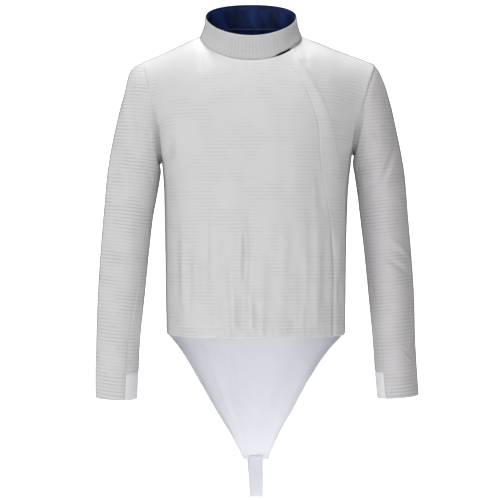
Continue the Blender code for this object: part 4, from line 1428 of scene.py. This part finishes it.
def material_with(name, group=None, pitch=1.0, smooth_heights=NOWHERE, least=1.0):
    """A material with its shader, and the outputs of a weave laid on the cloth's own ruler."""
    material = bpy.data.materials.new(name)
    material.use_nodes = True
    nodes, links = material.node_tree.nodes, material.node_tree.links
    shader = nodes["Principled BSDF"]
    if not group:
        return material, nodes, links, shader, None
    ruler = nodes.new("ShaderNodeUVMap")
    ruler.uv_map = "cloth"
    weave = nodes.new("ShaderNodeGroup")
    weave.node_tree = group
    weave.inputs["Pitch"].default_value = pitch
    weave.inputs["Smooth From"].default_value = smooth_heights[0]
    weave.inputs["Smooth To"].default_value = smooth_heights[1]
    weave.inputs["Least"].default_value = least
    links.new(ruler.outputs[0], weave.inputs["Place"])
    return material, nodes, links, shader, weave


def mixed(nodes, factor, first, second):
    """A colour between two; each is a colour or a socket."""
    node = nodes.new("ShaderNodeMix")
    node.data_type = "RGBA"
    feed(node.inputs[0], factor)
    feed(node.inputs[6], first)
    feed(node.inputs[7], second)
    return node.outputs[2]


def shaded(colour, share):
    return tuple(share * part for part in colour)


def bumped(nodes, height, distance):
    """A normal from a relief that is so many millimetres high."""
    node = nodes.new("ShaderNodeBump")
    node.inputs["Distance"].default_value = distance * MM
    feed(node.inputs["Height"], height)
    return node.outputs[0]


def lame_cloth(group, name, silver, rib_shade, least, smooth_heights):
    """Metallic cloth: fine cross ribs with darker lines, and painted shade where it turns away."""
    material, nodes, links, shader, weave = material_with(
        name, group, RIB_PITCH * MM, smooth_heights, least
    )
    line = weave.outputs["Line"]
    worn = mixed(nodes, weave.outputs["Wear"], shaded(silver, 0.95), shaded(silver, 1.05))
    ribbed = mixed(nodes, line, worn, shaded(silver, rib_shade))
    # Painted shade: the colour darkens to a quarter of its silver where the cloth turns away from
    # view.
    facing = nodes.new("ShaderNodeLayerWeight").outputs["Facing"]
    painted_shade_share = ramped(nodes, facing, *TURNED_AWAY)
    with_painted_edge_shade = mixed(nodes, painted_shade_share, ribbed, shaded(silver, PAINTED_EDGE_SHADE))
    links.new(with_painted_edge_shade, shader.inputs["Base Color"])
    threads = value(nodes, "MULTIPLY", weave.outputs["Thread"], 0.6)
    relief = value(nodes, "SUBTRACT", threads, line)
    links.new(bumped(nodes, relief, RIB_RELIEF), shader.inputs["Normal"])
    shader.inputs["Metallic"].default_value = 0.3
    shader.inputs["Roughness"].default_value = 0.72
    return material


def blue_lining(group):
    """Blue cloth with lighter streaks of painted sheen down it, as where it lies loose and catches
    the light.
    """
    material, nodes, links, shader, weave = material_with("blue lining", group, 1.1 * MM)
    ruler = weave.inputs["Place"].links[0].from_socket
    # Painted sheen: stretched noise lightens the dark blue in streaks, as loose folds would catch the
    # light.
    folds = noise(nodes, ruler, 48.0, (1.0, 0.32, 1.0))
    painted_sheen = ramped(nodes, folds, *LINING_SHEEN, way="LINEAR")
    streaks = mixed(nodes, painted_sheen, DARK_BLUE, LIGHT_BLUE)
    links.new(streaks, shader.inputs["Base Color"])
    links.new(bumped(nodes, weave.outputs["Thread"], 0.15), shader.inputs["Normal"])
    shader.inputs["Roughness"].default_value = 0.7
    shader.inputs["Specular IOR Level"].default_value = 0.2
    return material


def white_cotton(group, name, white, through=0.0):
    """Plain white cloth; some light comes through where it hangs single."""
    material, nodes, links, shader, weave = material_with(name, group, 1.3 * MM)
    tone = mixed(nodes, weave.outputs["Wear"], shaded(white, 0.96), shaded(white, 1.05))
    links.new(tone, shader.inputs["Base Color"])
    links.new(bumped(nodes, weave.outputs["Thread"], 0.2), shader.inputs["Normal"])
    shader.inputs["Roughness"].default_value = 0.8
    shader.inputs["Subsurface Weight"].default_value = through
    shader.inputs["Subsurface Radius"].default_value = (1.0, 1.0, 1.0)
    shader.inputs["Subsurface Scale"].default_value = 4 * MM
    return material


def ribbed_webbing(group):
    """White webbing: ribs run along it, with the weft's steps between them and painted shade in their
    grooves.
    """
    material, nodes, links, shader, weave = material_with("ribbed webbing", group, 1.6 * MM)
    # Painted shade: the lines between the weft's steps are coloured darker, as shade in their
    # grooves.
    tone = mixed(nodes, weave.outputs["Line"], WEBBING_WHITE, WEBBING_GROOVE_SHADE)
    links.new(tone, shader.inputs["Base Color"])
    links.new(bumped(nodes, weave.outputs["Line"], -0.2), shader.inputs["Normal"])
    shader.inputs["Roughness"].default_value = 0.7
    return material


def sewing_thread(name, colour):
    material, _, _, shader, _ = material_with(name)
    shader.inputs["Base Color"].default_value = (*colour, 1)
    shader.inputs["Roughness"].default_value = 0.6
    return material


def stitch_lines(cloths):
    """Each piece's visible lines of stitching."""
    by_name = {cloth.name: cloth for cloth in cloths}
    lines = {}
    for name in ("front_right", "front_fly", "front_left", "back"):
        lines[name] = [line_at(by_name[name], "bottom", HEM_DEPTH)]
    lines["front_fly"].append(line_at(by_name["front_fly"], "right", FLY_STITCH))
    for name in ("sleeve_upper_right", "sleeve_upper_left"):
        lines[name] = [line_at(by_name[name], "top", CUFF_DEPTH)]
    collar = by_name["collar"]
    lines["collar"] = [line_at(collar, "top", COLLAR_TURN_IN, collar.thickness, -1)]
    strap = by_name["crotch_strap"]
    lines["crotch_strap"] = []
    for edge in ("left", "right"):
        lines["crotch_strap"].append(line_at(strap, edge, STRAP_STITCH))
        lines["crotch_strap"].append(line_at(strap, edge, STRAP_STITCH, strap.thickness, -1))
    return lines


# What each piece is made of, which slot it takes, and its flat cut in metres: width, length, area.
PIECES = {
    "front_right": ("lame", "lame_cloth", 0.42, 0.57, 0.180),
    "front_fly": ("lame", "lame_cloth", 0.09, 0.60, 0.021),
    "front_left": ("lame", "lame_cloth", 0.19, 0.57, 0.048),
    "back": ("lame", "lame_cloth", 0.50, 0.60, 0.250),
    "sleeve_upper_right": ("right lame", "lame_cloth", 0.27, 0.62, 0.125),
    "sleeve_under_right": ("right lame", "lame_cloth", 0.09, 0.46, 0.030),
    "cuff_gusset_right": ("cuff white", "white_cloth", 0.08, 0.055, 0.0042),
    "sleeve_upper_left": ("left lame", "lame_cloth", 0.27, 0.62, 0.125),
    "sleeve_under_left": ("left lame", "lame_cloth", 0.09, 0.46, 0.030),
    "cuff_gusset_left": ("cuff white", "white_cloth", 0.08, 0.055, 0.0042),
    "collar": ("crosswise lame in painted shade", "lame_cloth", 0.50, 0.06, 0.024),
    "collar_lining": ("blue", "blue_lining", 0.45, 0.05, 0.016),
    "crotch_strap": ("white", "white_cloth", 0.41, 0.24, 0.051),
    "strap_loop": ("webbing", "webbing", 0.026, 0.160, 0.0041),
}


def cloth_looks():
    """The material of each finished cloth."""
    group = ribbed_weave()
    looks = {look: lame_cloth(group, *row) for look, row in LAMES.items()}
    looks["blue"] = blue_lining(group)
    looks["white"] = white_cotton(group, "white cotton", STRAP_WHITE, through=0.8)
    looks["cuff white"] = white_cotton(group, "white of the cuffs", CUFF_WHITE)
    looks["webbing"] = ribbed_webbing(group)
    return looks


def all_cloths():
    cloths = body_cloths() + sleeve_cloths(RIGHT, "right") + sleeve_cloths(LEFT, "left")
    cloths += collar_cloths() + [strap_cloth(), loop_cloth()]
    share_normals(cloths)
    return cloths


def make_pieces():
    """Every cut piece with its thread, in the place of its node."""
    looks = cloth_looks()
    threads = {
        "lame_cloth": sewing_thread("silver thread", SILVER_THREAD),
        "white_cloth": sewing_thread("white thread", WHITE_THREAD),
    }
    cloths = all_cloths()
    lines = stitch_lines(cloths)
    for cloth in cloths:
        look, slot, width, length, area = PIECES[cloth.name]
        inside = looks["blue"] if slot == "lame_cloth" else looks[look]
        piece = shell(cloth, looks[look], inside)
        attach(piece, "root")
        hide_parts(cloth.name)
        if cloth.name in lines:
            thread = stitching(cloth.name, lines[cloth.name], threads[slot])
            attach(thread, "root")


def white_paper():
    """Paper that shows white to the camera, and lights the garment less than it shows."""
    material, nodes, links, shader, _ = material_with("white paper")
    shader.inputs["Base Color"].default_value = (0.92, 0.92, 0.92, 1)
    shader.inputs["Roughness"].default_value = 0.9
    shader.inputs["Emission Color"].default_value = (1, 1, 1, 1)
    seen = nodes.new("ShaderNodeLightPath").outputs["Is Camera Ray"]
    glow = value(nodes, "MULTIPLY_ADD", seen, PAPER_WHITE - PAPER_GLOW, PAPER_GLOW)
    links.new(glow, shader.inputs["Emission Strength"])
    return material


def edges_of(geometry):
    return [item for item in geometry if isinstance(item, bmesh.types.BMEdge)]


def backdrop():
    """A pale floor that curves up into a wall."""
    bm = bmesh.new()
    edge = bmesh.ops.create_grid(bm, x_segments=1, y_segments=1, size=1.0)["verts"]
    bmesh.ops.delete(bm, geom=[v for v in edge if v.co.y < 0], context="VERTS")
    front = bm.edges[:]
    widened = Matrix.Diagonal((BACKDROP_HALF_WIDTH, 0, 1, 1))
    bmesh.ops.transform(bm, matrix=widened, verts=bm.verts[:])
    bmesh.ops.translate(bm, vec=(0, FLOOR_FRONT, FLOOR_HEIGHT), verts=bm.verts[:])
    floor = bmesh.ops.extrude_edge_only(bm, edges=front)["geom"]
    bmesh.ops.translate(bm, vec=(0, FLOOR_BACK - FLOOR_FRONT, 0), verts=verts_of(floor))
    curve = bmesh.ops.spin(
        bm, geom=edges_of(floor), cent=(0, FLOOR_BACK, FLOOR_HEIGHT + FLOOR_RADIUS),
        axis=(1, 0, 0), angle=np.pi / 2, steps=24,
    )["geom_last"]
    wall = bmesh.ops.extrude_edge_only(bm, edges=edges_of(curve))["geom"]
    bmesh.ops.translate(bm, vec=(0, 0, WALL_HEIGHT), verts=verts_of(wall))
    bmesh.ops.recalc_face_normals(bm, faces=bm.faces[:])
    mesh = mesh_from(bm, "backdrop")
    mesh.shade_smooth()
    mesh.materials.append(white_paper())
    object_from(mesh)


def aimed(item, place, target):
    """Put a lamp or camera at a place, looking at a target."""
    way = Vector(target) - Vector(place)
    item.location = place
    item.rotation_euler = way.to_track_quat("-Z", "Y").to_euler()
    bpy.context.scene.collection.objects.link(item)


def soft_light(name, place, target, size, power):
    lamp = bpy.data.lights.new(name, "AREA")
    lamp.shape = "RECTANGLE"
    lamp.size, lamp.size_y = size
    lamp.energy = power
    aimed(bpy.data.objects.new(name, lamp), place, target)


def light_studio():
    world = bpy.data.worlds.new("pale room")
    bpy.context.scene.world = world
    world.use_nodes = True
    sky = world.node_tree.nodes["Background"]
    sky.inputs["Color"].default_value = (1, 1, 1, 1)
    sky.inputs["Strength"].default_value = ROOM_LIGHT
    for light in LIGHTS:
        soft_light(*light)


def place_camera():
    lens = bpy.data.cameras.new("camera")
    lens.lens = CAMERA_LENS
    lens.sensor_width = 36.0
    camera = bpy.data.objects.new("camera", lens)
    x, y, z = CAMERA_PLACE
    aimed(camera, CAMERA_PLACE, (x, 0.0, z))
    bpy.context.scene.camera = camera
    bpy.context.scene.view_settings.view_transform = "Standard"


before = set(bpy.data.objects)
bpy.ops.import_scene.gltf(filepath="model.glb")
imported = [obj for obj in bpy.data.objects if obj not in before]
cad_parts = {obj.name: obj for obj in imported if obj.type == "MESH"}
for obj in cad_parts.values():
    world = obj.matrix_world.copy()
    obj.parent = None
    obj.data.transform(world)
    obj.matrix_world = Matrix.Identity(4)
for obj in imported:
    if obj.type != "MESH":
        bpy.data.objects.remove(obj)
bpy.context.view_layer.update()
make_pieces()
backdrop()
light_studio()
place_camera()
